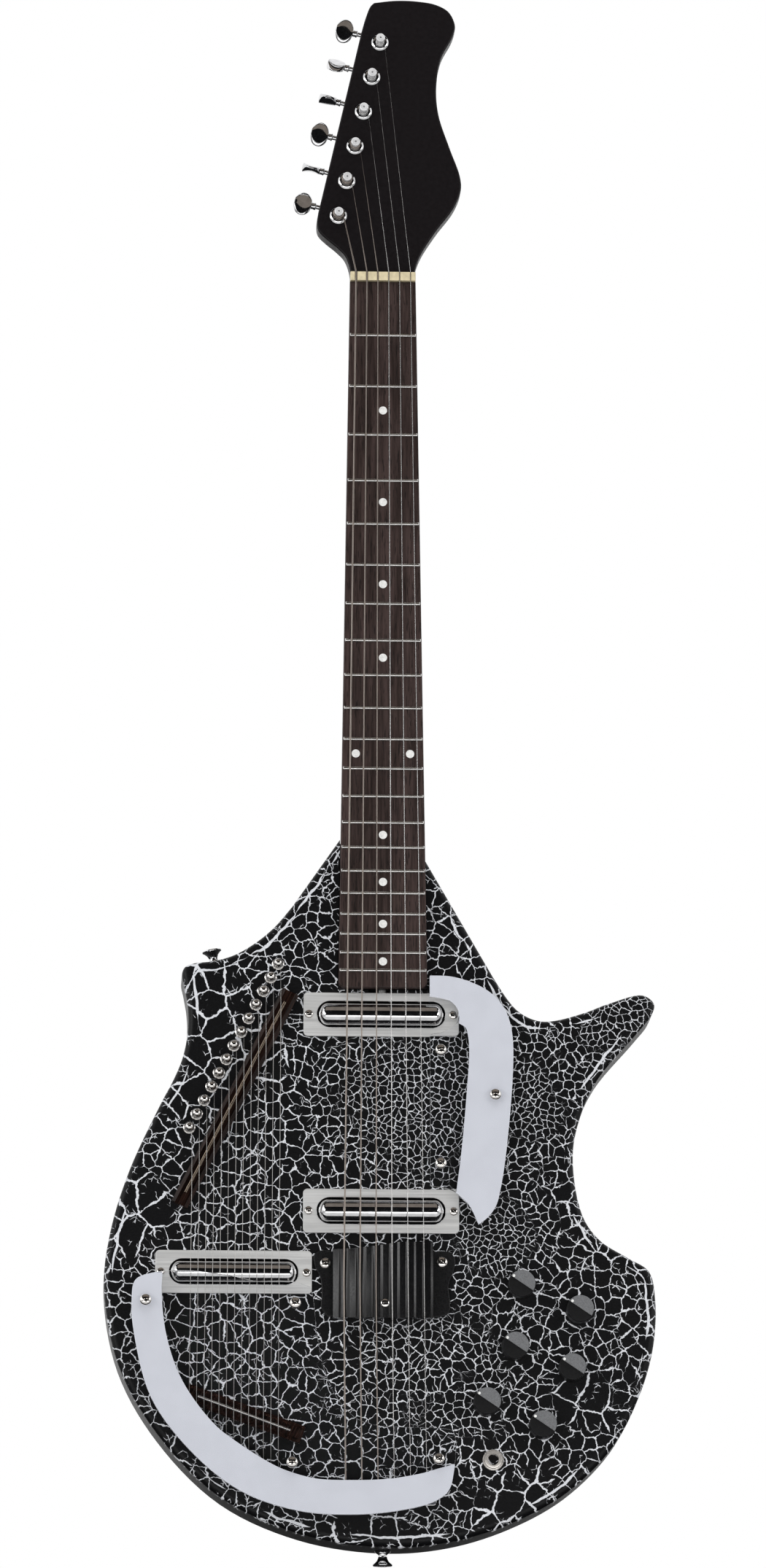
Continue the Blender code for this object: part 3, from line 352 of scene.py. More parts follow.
def piece(name, bm, material, slot, body="instrument", replaces=(), sharp=35):
    """Stands a bench solid up as a named object at the origin, which rides on its body."""
    bmesh.ops.transform(bm, matrix=UPRIGHT, verts=bm.verts)
    mesh = mesh_of(name, bm)
    mesh.shade_smooth()
    mesh.set_sharp_from_angle(angle=math.radians(sharp))
    mesh.materials.append(material)
    made = placed(name, mesh)
    made.modifiers.new("level_faces", "WEIGHTED_NORMAL").keep_sharp = True
    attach(made, body)
    if replaces:
        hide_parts(*replaces)
    print(name, "on", body, "with", len(mesh.polygons), "faces")
    return made


# %% [markdown]
# ## Helpers for materials
#
# Every finish is a Principled BSDF with a few nodes in front of it. A small helper adds a node, sets what
# is a plain value and links what is a socket, which keeps each recipe readable.

# %% Material helpers


class Finish:
    """A material with its node tree at hand."""

    def __init__(self, name, **sockets):
        self.material = bpy.data.materials.new(name)
        self.material.use_nodes = True
        self.tree = self.material.node_tree
        self.shader = self.tree.nodes["Principled BSDF"]
        for socket, value in sockets.items():
            self.shader.inputs[socket.replace("_", " ")].default_value = value
        self.place = self.tree.nodes.new("ShaderNodeTexCoord").outputs["Object"]
        print("finish:", name)

    def add(self, kind, inputs=(), **settings):
        node = self.tree.nodes.new("ShaderNode" + kind)
        for setting, value in settings.items():
            setattr(node, setting, value)
        for socket, value in dict(inputs).items():
            if isinstance(value, bpy.types.NodeSocket):
                self.tree.links.new(value, node.inputs[socket])
            else:
                node.inputs[socket].default_value = value
        return node

    def math(self, operation, *values):
        return self.add("Math", enumerate(values), operation=operation).outputs[0]

    def vector(self, operation, *values):
        return self.add("VectorMath", enumerate(values), operation=operation).outputs[0]

    def scaled(self, vector, scale):
        return self.add("Mapping", {"Vector": vector, "Scale": scale}).outputs[0]

    def noise(self, vector, scale, detail=3.0, roughness=0.5, output="Fac"):
        inputs = {"Vector": vector, "Scale": scale, "Detail": detail, "Roughness": roughness}
        return self.add("TexNoise", inputs).outputs[output]

    def ramp(self, value, low, high, to_low=0.0, to_high=1.0, smooth=True):
        kind = "SMOOTHSTEP" if smooth else "LINEAR"
        inputs = {"Value": value, "From Min": low, "From Max": high, "To Min": to_low, "To Max": to_high}
        return self.add("MapRange", inputs, interpolation_type=kind).outputs["Result"]

    def cloud(self, scale, detail, *span, **keys):
        """Noise on the surface, as a ramp's value."""
        return self.ramp(self.noise(self.place, scale, detail), *span, **keys)

    def blend(self, share, first, second):
        return self.add("Mix", {0: share, 6: first, 7: second}, data_type="RGBA").outputs[2]

    def bump(self, height, strength, distance):
        node = self.add("Bump", {"Height": height, "Strength": strength, "Distance": distance})
        self.tree.links.new(node.outputs[0], self.shader.inputs["Normal"])

    def feed(self, socket, value):
        self.tree.links.new(value, self.shader.inputs[socket])


# %% [markdown]
# ## Crackle lacquer
#
# Crackle lacquer is a black top coat that shrinks and tears over a pale base coat. Where the coat is
# thick, near the edges, it tears into wide islands with broad cracks and fine hairlines inside them.
# Where it is thin, it tears into small even cells. Four Voronoi patterns, read as the distance to the
# nearest cell edge and bent by noise, give four sizes of island, and a map of the coat opens each of them
# in its own region. A fifth, opened in patches, gives the hairlines. The map is a handful of soft spots,
# placed on the body.

# %% Where the coat is thin and where it is thick
COAT_SPOTS = (((24, 107), 92, 1.0), ((70, 22), 56, 0.66), ((22, -62), 84, 0.62), ((105, 118), 64, 0.66),
              ((150, 165), 50, 0.86), ((-110, 146), 74, -1), ((-160, 42), 50, -0.6),
              ((138, -72), 50, -0.42), ((85, -150), 46, -0.9), ((-10, -164), 36, -0.8),
              ((-138, -108), 38, -0.8))


def coat_map(finish, spots):
    """Each spot is a middle, a reach and a strength, above zero where the coat is thin."""
    total = None
    for (x, y), reach, strength in spots:
        offset = finish.vector("SUBTRACT", finish.place, (x * MM, 0, y * MM))
        level = finish.vector("MULTIPLY", offset, (1, 0, 1))
        distance = finish.add("VectorMath", {0: level}, operation="LENGTH").outputs["Value"]
        near = finish.ramp(distance, 0.25 * reach * MM, reach * MM, strength, 0.0)
        total = near if total is None else finish.math("ADD", total, near)
    return total


# %% One size of crack
SHUT = 0.16
SOFT_EDGE = 0.1


def cracks(finish, place, cell, width, opening, seed):
    """Lines round cells, with sizes in millimetres, as wide as the opening lets them be."""
    shifted = finish.vector("ADD", place, (seed, -seed, 0))
    scale = 1 / (cell * MM)
    edge = finish.add("TexVoronoi", {"Vector": shifted, "Scale": scale, "Randomness": 0.95},
                      voronoi_dimensions="2D", feature="DISTANCE_TO_EDGE").outputs["Distance"]
    wander = finish.ramp(finish.noise(shifted, scale * 1.6, 2), 0.3, 0.7, 0.4, 1.6, smooth=False)
    reach = finish.math("MULTIPLY", finish.math("MULTIPLY", wander, opening), 0.5 * width / cell)
    closed = finish.math("MULTIPLY_ADD", opening, -SHUT / cell, SHUT / cell)
    inside = finish.math("SUBTRACT", finish.math("SUBTRACT", reach, closed), edge)
    return finish.ramp(inside, -SOFT_EDGE / cell, SOFT_EDGE / cell)


# %% The crackle finish
# Each network has its cells' size and its cracks' width in millimetres, the band of the coat's map that
# it fills, and a shift that sets it apart from the others.
NETWORKS = ((16.5, 1.1, -9, -0.36, 0.37), (8.6, 0.6, -0.36, 0.3, 0.61),
            (5.9, 0.47, 0.3, 0.7, 0.83), (4.2, 0.36, 0.7, 9, 0.13))
BLUR = 0.06
HAIR_CELL = 5.2
HAIR_WIDTH = 0.34
crackle = Finish("crackle_lacquer", Roughness=0.42, Specular_IOR_Level=0.22)
shake = crackle.noise(crackle.place, 310, 3, output="Color")
sway = crackle.noise(crackle.place, 45, 2, output="Color")
bent = crackle.vector("MULTIPLY_ADD", shake, 3 * (3.4 * MM,), crackle.place)
bent = crackle.vector("MULTIPLY_ADD", sway, 3 * (8 * MM,), bent)
sides = crackle.add("SeparateXYZ", {"Vector": bent}).outputs
flat = crackle.add("CombineXYZ", {"X": sides["X"], "Y": sides["Z"]}).outputs[0]
patches = crackle.cloud(18, 2, 0.3, 0.7, -0.2, 0.2)
thinness = crackle.math("ADD", coat_map(crackle, COAT_SPOTS), patches)
torn = None
for cell, width, low, high, seed in NETWORKS:
    opening = crackle.math("MULTIPLY", crackle.ramp(thinness, low - BLUR, low + BLUR),
                           crackle.ramp(thinness, high - BLUR, high + BLUR, 1, 0))
    lines = cracks(crackle, flat, cell, width, opening, seed)
    torn = lines if torn is None else crackle.math("MAXIMUM", torn, lines)
hair = crackle.cloud(100, 2, 0.5, 0.62)
hair = crackle.math("MULTIPLY", hair, crackle.ramp(thinness, 0.3, 0.8, 1, 0.4))
torn = crackle.math("MAXIMUM", torn, cracks(crackle, flat, HAIR_CELL, HAIR_WIDTH, hair, 0.29))

# %% [markdown]
# The coat also tears along the rim of the body, where it runs thin over the rounding. The body's mesh
# carries each point's distance from its outline as an attribute, and the finish draws one broken line
# near 6 mm from the edge.

# %% The tear along the rim and the colours
TEAR_FROM_EDGE = 5.6
FADE_FROM = 5
FADE_TO = 14
rim = crackle.add("Attribute", attribute_name="from_edge", attribute_type="GEOMETRY").outputs["Fac"]
rim_sway = crackle.cloud(60, 3, 0.25, 0.75, -1.6, 1.6, smooth=False)
wavering = crackle.math("ADD", rim, rim_sway)
rim_line = crackle.math("ABSOLUTE", crackle.math("SUBTRACT", wavering, TEAR_FROM_EDGE))
rim_width = crackle.cloud(26, 2, 0.46, 0.6, -0.25, 0.75)
torn_rim = crackle.ramp(crackle.math("SUBTRACT", rim_width, rim_line), -0.12, 0.15)
depth = crackle.add("SeparateXYZ", {"Vector": crackle.place}).outputs["Y"]
on_face = crackle.ramp(depth, (FADE_FROM - BODY_TOP) * MM, (FADE_TO - BODY_TOP) * MM, 1, 0)
torn = crackle.math("MAXIMUM", crackle.math("MULTIPLY", torn, on_face), torn_rim)
grain = crackle.noise(crackle.place, 900, 4, 0.7)
black = crackle.blend(crackle.ramp(grain, 0.3, 0.75), (0.003, 0.003, 0.0034, 1),
                      (0.0075, 0.0075, 0.0085, 1))
pale = crackle.blend(crackle.ramp(grain, 0.35, 0.7), (0.64, 0.655, 0.69, 1), (0.84, 0.855, 0.89, 1))
crackle.feed("Base Color", crackle.blend(torn, black, pale))
crackle.feed("Roughness", crackle.ramp(torn, 0, 1, 0.4, 0.62))
relief = crackle.math("SUBTRACT", crackle.math("MULTIPLY", grain, 0.25), torn)
crackle.bump(relief, 0.35, 0.0003)

# %% [markdown]
# ## Timber, metal and plastic
#
# Rosewood has long open pores along the board. Chrome is nearly a mirror with faint clouds of wear, the
# pickup rings are drawn along their length with a fine brush, and the black parts are satin plastic or
# lacquer.

# %% Rosewood


def timber(name, dark, light, along, roughness):
    """Timber with its grain and pores running along a direction on the bench."""
    wood = Finish(name, Roughness=roughness, Specular_IOR_Level=0.3)
    turn = math.atan2(along[0], along[1])
    lain = wood.add("Mapping", {"Vector": wood.place, "Rotation": (0, -turn, 0)}).outputs[0]
    streaks = wood.noise(wood.scaled(lain, (1, 1, 0.045)), 520, 5, 0.65)
    bands = wood.noise(wood.scaled(lain, (1, 1, 0.07)), 110, 3, 0.55)
    pores = wood.ramp(wood.noise(wood.scaled(lain, (1, 1, 0.09)), 1500, 2, 0.4), 0.56, 0.68)
    tone = wood.math("ADD", wood.math("MULTIPLY", streaks, 0.6), wood.math("MULTIPLY", bands, 0.4))
    colour = wood.blend(wood.ramp(tone, 0.36, 0.64), dark, light)
    pore_tone = (*(0.35 * c for c in dark[:3]), 1)
    wood.feed("Base Color", wood.blend(wood.math("MULTIPLY", pores, 0.75), colour, pore_tone))
    wood.feed("Roughness", wood.ramp(tone, 0.3, 0.7, roughness - 0.08, roughness + 0.1))
    wood.bump(wood.math("SUBTRACT", streaks, pores), 0.3, 0.0002)
    return wood.material


rosewood = timber("rosewood", (0.022, 0.0125, 0.0105, 1), (0.062, 0.038, 0.034, 1), (0, 1), 0.52)
bridge_wood = timber("polished_rosewood", (0.005, 0.0028, 0.0022, 1), (0.026, 0.0105, 0.0068, 1),
                     (-0.45, -0.89), 0.22)

# %% Metals


def metal(name, colour, roughness, cloud=0.06, brush=None, metallic=1.0):
    """A metal with clouds of wear, or with the marks of a brush drawn along one axis."""
    made = Finish(name, Metallic=metallic, Roughness=roughness)
    if brush:
        marks = made.noise(made.scaled(made.place, brush), 700, 4, 0.7)
        made.bump(marks, 0.25, 0.0001)
    else:
        marks = made.noise(made.place, 240, 3, 0.6)
    made.feed("Roughness", made.ramp(marks, 0.3, 0.7, roughness, roughness + cloud))
    darker = tuple(0.82 * c for c in colour) + (1,)
    made.feed("Base Color", made.blend(made.ramp(marks, 0.3, 0.7), darker, (*colour, 1)))
    return made.material


chrome = metal("chrome", (0.83, 0.83, 0.84), 0.05)
nickel = metal("nickel", (0.86, 0.83, 0.80), 0.1)
brushed = metal("brushed_aluminium", (0.86, 0.86, 0.85), 0.42, 0.14, (0.02, 1, 1), 0.55)
fret_metal = metal("fret_nickel", (0.86, 0.84, 0.82), 0.2)
drone_fret_metal = metal("drone_fret_brass", (0.44, 0.35, 0.27), 0.24)
plain_steel = metal("plain_steel", (0.74, 0.73, 0.72), 0.22)
bronze_wound = metal("bronze_winding", (0.44, 0.385, 0.345), 0.3, 0.1, (1, 1, 6))
bright_steel = metal("satin_steel", (0.95, 0.95, 0.96), 0.34, 0.08, metallic=0.35)
jack_nickel = metal("jack_nickel", (0.84, 0.80, 0.75), 0.24, 0.1, metallic=0.6)
drone_steel = metal("drone_steel", (0.42, 0.41, 0.40), 0.3)
zinc_plate = metal("zinc_plate", (0.55, 0.55, 0.54), 0.4)

# %% Lacquer, plastics and the nut


def satin(name, colour, roughness, grain_scale, grain_depth, specular=0.5, contrast=1.25):
    """A plain coloured coat or moulding with a fine skin of grain."""
    made = Finish(name, Roughness=roughness, Specular_IOR_Level=specular)
    skin = made.noise(made.place, grain_scale, 3, 0.6)
    lighter = tuple(min(1, contrast * c) for c in colour) + (1,)
    made.feed("Base Color", made.blend(made.ramp(skin, 0.3, 0.7), (*colour, 1), lighter))
    made.feed("Roughness", made.ramp(skin, 0.3, 0.7, roughness - 0.04, roughness + 0.06))
    made.bump(skin, 0.2, grain_depth)
    return made.material


head_lacquer = satin("black_lacquer", (0.0075, 0.006, 0.0068), 0.38, 420, 0.00004, 0.2)
moulded_black = satin("moulded_black", (0.0075, 0.0075, 0.008), 0.3, 800, 0.00005, 0.45)
gloss_black = satin("gloss_black", (0.004, 0.004, 0.0045), 0.2, 900, 0.00002, 0.5)
knob_black = satin("knob_black", (0.006, 0.006, 0.0065), 0.42, 900, 0.00006, 0.3)
# The half-moon's grey is painted light: a lighter copy of the knob's black plastic that stands in for light
# on its raised top face.
lit_knob_grey = satin("knob_half_moon_painted_light", (0.13, 0.133, 0.138), 0.5, 1500, 0.00008, 0.4, 1.5)
cream = satin("cream_nut", (0.60, 0.52, 0.34), 0.42, 300, 0.00003)
pearl = satin("white_dot", (0.78, 0.78, 0.76), 0.3, 500, 0.00002)
under_paint = satin("white_under_paint", (0.63, 0.645, 0.70), 0.5, 60, 0.00002, 0.2, 1.04)

# %% [markdown]
# Clear sheet is glass with the refraction of acrylic. A path tracer treats glass as solid for lamps,
# which would put the lacquer below in shade, so the sheet lets rays from lamps and from the surfaces
# below it pass straight through.

# %% Clear acrylic
clear = Finish("clear_acrylic", Base_Color=(0.97, 0.98, 1.0, 1), Roughness=0.03, IOR=1.49,
               Transmission_Weight=1.0, Specular_IOR_Level=0.2)
clear.feed("Roughness", clear.cloud(30, 2, 0.3, 0.7, 0.02, 0.05))
passing = clear.add("LightPath").outputs
lets_by = clear.math("MAXIMUM", passing["Is Shadow Ray"], passing["Is Diffuse Ray"])
lets_by = clear.math("MAXIMUM", lets_by, passing["Is Glossy Ray"])
see_through = clear.add("BsdfTransparent").outputs[0]
mixed = clear.add("MixShader", {0: lets_by, 1: clear.shader.outputs[0], 2: see_through}).outputs[0]
clear.tree.links.new(mixed, clear.tree.nodes["Material Output"].inputs["Surface"])
acrylic = clear.material

# %% [markdown]
# ## Screws
#
# Every screw here is a nickel dome with a cross in it. A disc is turned and its cross is cut with two
# thin bars that get narrower with depth. The same solid is copied to each place.

# %% A cross-headed screw


def cross_screw(radius, height, turn=0.0):
    """A domed head on z = 0 with a cross-shaped recess."""
    dome = arc(0, 0.25 * height, radius, 0.75 * height, 0, 90, 7)
    head = turned([(0, 0), (radius, 0), *dome[:-1], (0, height)], 28)
    arms = []
    for quarter in range(2):
        arm = bmesh.new()
        bmesh.ops.create_cube(arm, size=1.0)
        bmesh.ops.scale(arm, vec=(radius * 1.2, radius * 0.3, height), verts=arm.verts)
        low = [v for v in arm.verts if v.co.z < 0]
        bmesh.ops.scale(arm, vec=(0.45, 0.6, 1), verts=low)
        arms.append(moved(arm, 0, 0, height * 0.85, about("Z", 90 * quarter)))
    head = carved(carved(head, arms[0]), arms[1])
    return moved(head, turn=about("Z", turn))


def screws_at(name, places, radius, height, z, **keys):
    heads = [moved(cross_screw(radius, height, 37 * i + 12), x, y, z) for i, (x, y) in enumerate(places)]
    return piece(name, together(*heads), nickel, "chrome", **keys)


# %% [markdown]
# ## Body
#
# The body is a slab of timber sawn to its outline, with a rounded edge and a pointed horn. It is one
# plate with a 4.5 mm round-over, cut by the neck's pocket, the pickups' slots, the control cavity from
# the back and the plates' recesses.

# %% The body's outline
BODY_LINE = outline(
    ((-26.3, 274.2), (-56.2, 230.8)),
    ((-56.2, 230.8), (-67.4, 217.5), (-79.3, 207.4), (-92.3, 199.7), (-105.3, 195.8), (-117, 194.3),
     (-122.6, 192), (-124.6, 187.5), (-123.1, 179), (-121.2, 168), (-120.6, 157),
     (-121.6, 145), (-124.4, 132.9), (-129.5, 120.5), (-137.1, 105.7), (-156.3, 63.5),
     (-167.9, 24.5), (-171.5, -10), (-162.4, -57.6), (-137.8, -100.7), (-98.8, -139.3),
     (-50.6, -161.1), (0, -169), (41.5, -165.7), (79.6, -153.8), (113.7, -134.8),
     (142.4, -105.9), (159.4, -72.5), (167.4, -43.6), (168.8, -15), (165, 2.5), (151.8, 11),
     (134.7, 21.8), (123.9, 37.7), (118.3, 74.5), (123.3, 99.8), (134.3, 123.1), (158.9, 152.3),
     (168, 164), (169.6, 171), (162.5, 176.4), (141.9, 171.2), (126.3, 165.1), (109.3, 160.2),
     (99.6, 159.3), (91.5, 161.5), (84.2, 166.1), (77.9, 173.4), (69.1, 187.2)),
    ((69.1, 187.2), (27, 260.8)),
)
CAVITY_CORE = ((60, -122), (88, -120), (106, -106), (128, -60), (128, -4), (60, -4))
PICKUPS = {"neck": (-0.9, 161.7), "bridge": (-0.9, 38.2), "drone": (-91.8, -0.7)}

# %% Cut the body
TUBE_LENGTH = 78.4
EDGE_ROUND = 4.5
POCKET_FLOOR = 25.2
TUBE_FLOOR = 30
CAVITY_DEPTH = 35
COVER_THICKNESS = 2.6
PLATE_THICKNESS = 2.4
BELOW = -5
ABOVE = 60
BOARD_END = 178
HEEL_HALF = 27.6
NUT_HALF = 20.8


def half_width(y):
    """Half the neck's width at a place along it."""
    return NUT_HALF + (HEEL_HALF - NUT_HALF) * (SCALE_LENGTH - y) / (SCALE_LENGTH - BOARD_END)


def tapered(low, high, margin=0):
    """The neck's outline between two places along it, with a margin at the sides."""
    wide, narrow = half_width(low) + margin, half_width(high) + margin
    return [(-wide, low), (wide, low), (narrow, high), (-narrow, high)]


body_solid = plate(BODY_LINE, 0, BODY_TOP, EDGE_ROUND, 6)
cuts = [plate(tapered(BOARD_END - GAP, 300, GAP), POCKET_FLOOR, ABOVE)]
for x, y in PICKUPS.values():
    cuts.append(long_plate(x, y, TUBE_LENGTH / 2 + 1.2, 8.9, 8.8, TUBE_FLOOR, ABOVE))
cuts.append(plate(rounded(CAVITY_CORE, 8), BELOW, CAVITY_DEPTH))
body_solid = carved(body_solid, together(*cuts))
for tool in (plate(rounded_box(-8.7, 4.5, 172, 178.5, 1.2), 33, ABOVE),
             plate(rounded(CAVITY_CORE, 14), BELOW, COVER_THICKNESS),
             long_plate(0, 222, 25.3, 31.3, 5, BELOW, PLATE_THICKNESS)):
    body_solid = carved(body_solid, tool)
print("body:", len(body_solid.verts), "points")

# %% [markdown]
# The crackle needs to know how far each point of the face lies from the edge. The face is cut into a
# grid, because a value on a point only spreads as far as the next point, and each point gets its distance
# from the outline. The back and the sides keep zero, and the finish lets the cracks fade out down the
# sides.

# %% The distance from the edge, for the crackle
GRID = 5
FACE_DEPTH = 5
for axis, first, last in ((Vector((1, 0, 0)), -170, 170), (Vector((0, 1, 0)), -165, 275)):
    for place in range(first, last, GRID):
        face = [f for f in body_solid.faces if f.normal.z > 0.99 and f.verts[0].co.z > BODY_TOP - 0.01]
        parts = {part for f in face for part in (*f.edges, *f.verts)}
        bmesh.ops.bisect_plane(body_solid, geom=[*face, *parts], dist=1e-4, plane_co=axis * place,
                               plane_no=axis)
corners = BODY_LINE + BODY_LINE[:1]
spots = [a.lerp(b, i / 10) for a, b in zip(corners, corners[1:]) for i in range(10)]
edge_points = KDTree(len(spots))
for number, spot in enumerate(spots):
    edge_points.insert(spot.to_3d(), number)
edge_points.balance()
body = piece("lacquered_body", body_solid, crackle.material, "crackle_lacquer", replaces=["body"])
from_edge = body.data.attributes.new("from_edge", "FLOAT", "POINT")
for vertex, slot in zip(body.data.vertices, from_edge.data):
    if vertex.co.y < (FACE_DEPTH - BODY_TOP) * MM:
        slot.value = edge_points.find((vertex.co.x / MM, vertex.co.z / MM, 0))[2]
print("body with its grid:", len(body.data.vertices), "points")

# %% [markdown]
# ## Neck and headstock
#
# The neck is one piece of timber: a square heel in the body's pocket, a rounded shaft that gets slimmer
# towards the nut, and a flat headstock with a wavy right edge. Sections are swept along the neck and
# joined with the headstock.

# %% The neck's shaft and heel
NECK_TOP = 42.5
HEEL_BOTTOM = 25.5
SIDE_DEPTH = 2.5


def neck_section(y, depth):
    """A section across the neck: flat on top, with short sides and a rounded back."""
    width = half_width(y)
    ring = [(width, y, NECK_TOP), (-width, y, NECK_TOP)]
    for cosine, sine in arc(0, 0, 1, 1, 0, 180, 24):
        below = SIDE_DEPTH + (depth - SIDE_DEPTH) * sine ** 0.8
        ring.append((-width * cosine, y, NECK_TOP - below))
    return ring


STATIONS = ((250, 16.5), (300, 15.6), (380, 15.3), (450, 15), (540, 14.7), (620, 14.5), (634, 15.4),
            (640.9, 15.5))
shaft = swept([neck_section(y, depth) for y, depth in STATIONS])
heel = plate(tapered(BOARD_END, 270), HEEL_BOTTOM, NECK_TOP, 0.5, 2)

# %% The headstock
HEAD_LINE = outline(
    ((-20.4, 632), (-20.4, 643), (-23.7, 653.6), (-29, 659.5), (-36.2, 665.5), (-40.8, 670.5),
     (-41.8, 675.5), (-40.9, 682.5)),
    ((-40.9, 682.5), (-13.5, 803.5)),
    ((-13.5, 803.5), (-10.7, 813.6), (-7.7, 821.3), (-5.3, 823.8)),
    ((-5.3, 823.8), (8.9, 825.5), (22.1, 825.2), (34.3, 823.1), (42.7, 818.2), (46.7, 809),
     (45, 801.5), (37.7, 786.8), (34.6, 767.9), (35.9, 749.4), (43, 727), (49.5, 708.5),
     (50.2, 699), (45.7, 687.1), (34, 670.9), (24.2, 654.7), (20.6, 643), (20.6, 632)),
)
head = plate(HEAD_LINE, HEAD_BACK, HEAD_FACE, 1.4, 4)
neck = carved(carved(shaft, heel, "UNION"), head, "UNION")
piece("neck_and_headstock", neck, head_lacquer, "black_lacquer", replaces=["neck"])

# %% [markdown]
# ## Fretboard
#
# The board is rosewood with rounded lower corners, 21 nickel frets and white dots. Each fret's place
# comes from the scale length: every fret shortens the string by the twelfth root of two. A fret's crown
# is half an ellipse.

# %% The board
CORNER = 4
inner, foot = HEEL_HALF - CORNER, BOARD_END + CORNER
board_line = [*arc(-inner, foot, CORNER, CORNER, 180, 270, 8),
              *arc(inner, foot, CORNER, CORNER, 270, 360, 8),
              *tapered(BOARD_END, SCALE_LENGTH - GAP)[2:]]
board = plate(board_line, BOARD_BOTTOM, BOARD_TOP, 0.7, 3, top_only=True)
piece("rosewood_board", board, rosewood, "rosewood", replaces=["fretboard"])

# %% The frets


def fret_y(number):
    return SCALE_LENGTH * 2 ** (-number / 12)


def fret(y, reach):
    """A crowned wire across the board with its ends filed slanting."""
    rings = []
    for share, drop in ((-1, 0.45), (-0.985, 0.85), (-0.95, 1.0), (0.95, 1.0), (0.985, 0.85), (1, 0.45)):
        crest = arc(y, BOARD_TOP - 0.15, 1.2, 1.15 * drop, 0, 180, 8)
        rings.append([(share * reach, *point) for point in crest])
    return swept(rings)


piece("frets", together(*[fret(fret_y(n), half_width(fret_y(n)) - 0.5) for n in range(1, 22)]),
      fret_metal, "rosewood")

# %% The dots
dots = []
for number in (3, 5, 7, 9, 12, 15, 17, 19, 21):
    y = (fret_y(number - 1) + fret_y(number)) / 2
    for x in ((-17, 17) if number == 12 else (0,)):
        dots.append(moved(disc(2.6, -0.6, 0.03), x, y, BOARD_TOP))
piece("board_dots", together(*dots), pearl, "nut")

# %% [markdown]
# ## Tuners
#
# Six tuners sit in line. On the back, each has a pressed housing with a worm and a gear in it. The worm's
# shaft goes out past the headstock's left edge to an oval button with a waist. In front, a bushing holds
# the string's post, which has a hole down its top and a waist for the windings.

# %% The tuner plate and housings
BUTTON_TURNS = (0, 45, 90, 0, 80, 10)
WORM_OFFSET = 8.6
WORM_DEPTH = 21.8
BUTTON_REACH = 24.5
STRIP_BACK = 25.3
POST_TOP = height_of("tuner_post_1")


def post_at(index):
    return FIRST_POST.lerp(LAST_POST, index / (TUNERS - 1))


POSTS = [post_at(index) for index in range(TUNERS)]
aim = pointing((*SHAFT_LINE, 0))
along_posts = Matrix.Rotation(math.atan2(POST_LINE.y, POST_LINE.x), 4, "Z")
strip = plate(rounded_box(-69.6, 73.6, -8.9, 8.9, 2.5), STRIP_BACK, STRIP_BACK + 1.4, 0.35, 2)
plate_parts = [moved(strip, *post_at(2.5), 0, along_posts)]
for post in POSTS:
    cover = plate(rounded_box(-8.2, 12.2, -8.2, 8.2, 3), 17.3, 26, 1.3, 4)
    plate_parts.append(moved(cover, *post, 0, along_posts))
    collar = turned([(1.7, 0), (3, 0), (3, 3.2), (2.6, 3.8), (1.7, 3.8)], 24)
    worm = post + POST_LINE * WORM_OFFSET + SHAFT_LINE * 7.4
    plate_parts.append(moved(collar, *worm, WORM_DEPTH, aim))
piece("tuner_housings", together(*plate_parts), chrome, "tuner_metal", replaces=["tuner_plate"])

# %% Bushings
BUSHING_SIDE = ((3.1, 30), (4.2, 30), (4.2, 40.7), (5.6, 40.7), (5.6, 41.3), (5.35, 41.7), (4.4, 42.2),
                (3.9, 42.45), (3.1, 42.45), (3.1, 30))
piece("bushings", together(*[moved(turned(BUSHING_SIDE, 40), *post) for post in POSTS]), chrome,
      "tuner_metal")

# %% Posts and buttons
WAIST = 2.2
POST_SIDE = ((0, 19), (2.75, 19), (2.75, 42.9), (2.5, 43.2), (WAIST, 43.6), (WAIST, POST_TOP - 2.7),
             (2.6, POST_TOP - 2.2), (2.8, POST_TOP - 1.9), (2.8, POST_TOP - 0.5), (2.5, POST_TOP - 0.1),
             (2.2, POST_TOP), (0, POST_TOP))
for index, post in enumerate(POSTS):
    shape = carved(turned(POST_SIDE), moved(disc(0.6, -2, 4, 20), 0, 0, POST_TOP))
    piece(f"string_post_{index + 1}", moved(shape, *post), bright_steel, "tuner_metal",
          f"post_{index + 1}", [f"tuner_post_{index + 1}"])


def oval_button():
    """An oval button, 5 mm thick at its root, 3.6 mm at its middle and 6.3 mm at its tip."""
    rings = []
    for step in range(1, 40):
        along = -math.cos(math.pi * step / 40)
        share = (along + 1) / 2
        half = (5 - 6.9 * share + 8.2 * share ** 2) / 2
        side = math.sqrt(1 - along * along)
        rounding = min(side * 2.2, 1.0) ** 0.7
        ring = []
        for cosine, sine in arc(0, 0, 1, 1, 0, 348.75, 31):
            flatter = 1.0 - 0.55 * abs(cosine) ** 6
            depth = half * rounding * math.copysign(abs(sine) ** 0.6, sine) * flatter
            ring.append((8.1 * side * cosine, 6.0 * along, depth))
        rings.append(ring)
    return moved(swept(rings), 0, 0, BUTTON_REACH, about("X", 90))


STEM_SIDE = ((0, 4), (1.5, 4), (1.5, 15.6), (1.6, 15.9), (2.35, 16.2), (2.45, 16.5), (2.35, 16.8),
             (2.1, 17.2), (2.1, 20.4), (0, 20.4))
for index, (post, turn) in enumerate(zip(POSTS, BUTTON_TURNS)):
    knob = together(oval_button(), turned(STEM_SIDE, 28))
    moved(knob, *(post + POST_LINE * WORM_OFFSET), WORM_DEPTH, aim @ about("Z", turn))
    piece(f"button_{index + 1}", knob, chrome, "tuner_metal", f"button_{index + 1}",
          [f"tuner_button_{index + 1}"], sharp=50)

# %% [markdown]
# ## Strings
#
# Six playing strings run from their posts over the nut, the frets and the ridged bridge to a tailpiece
# under the armrest. The lowest string goes to the nearest post, so that none cross. Each is wound three
# times down its post. The three low ones have a bronze winding, the others are plain steel.

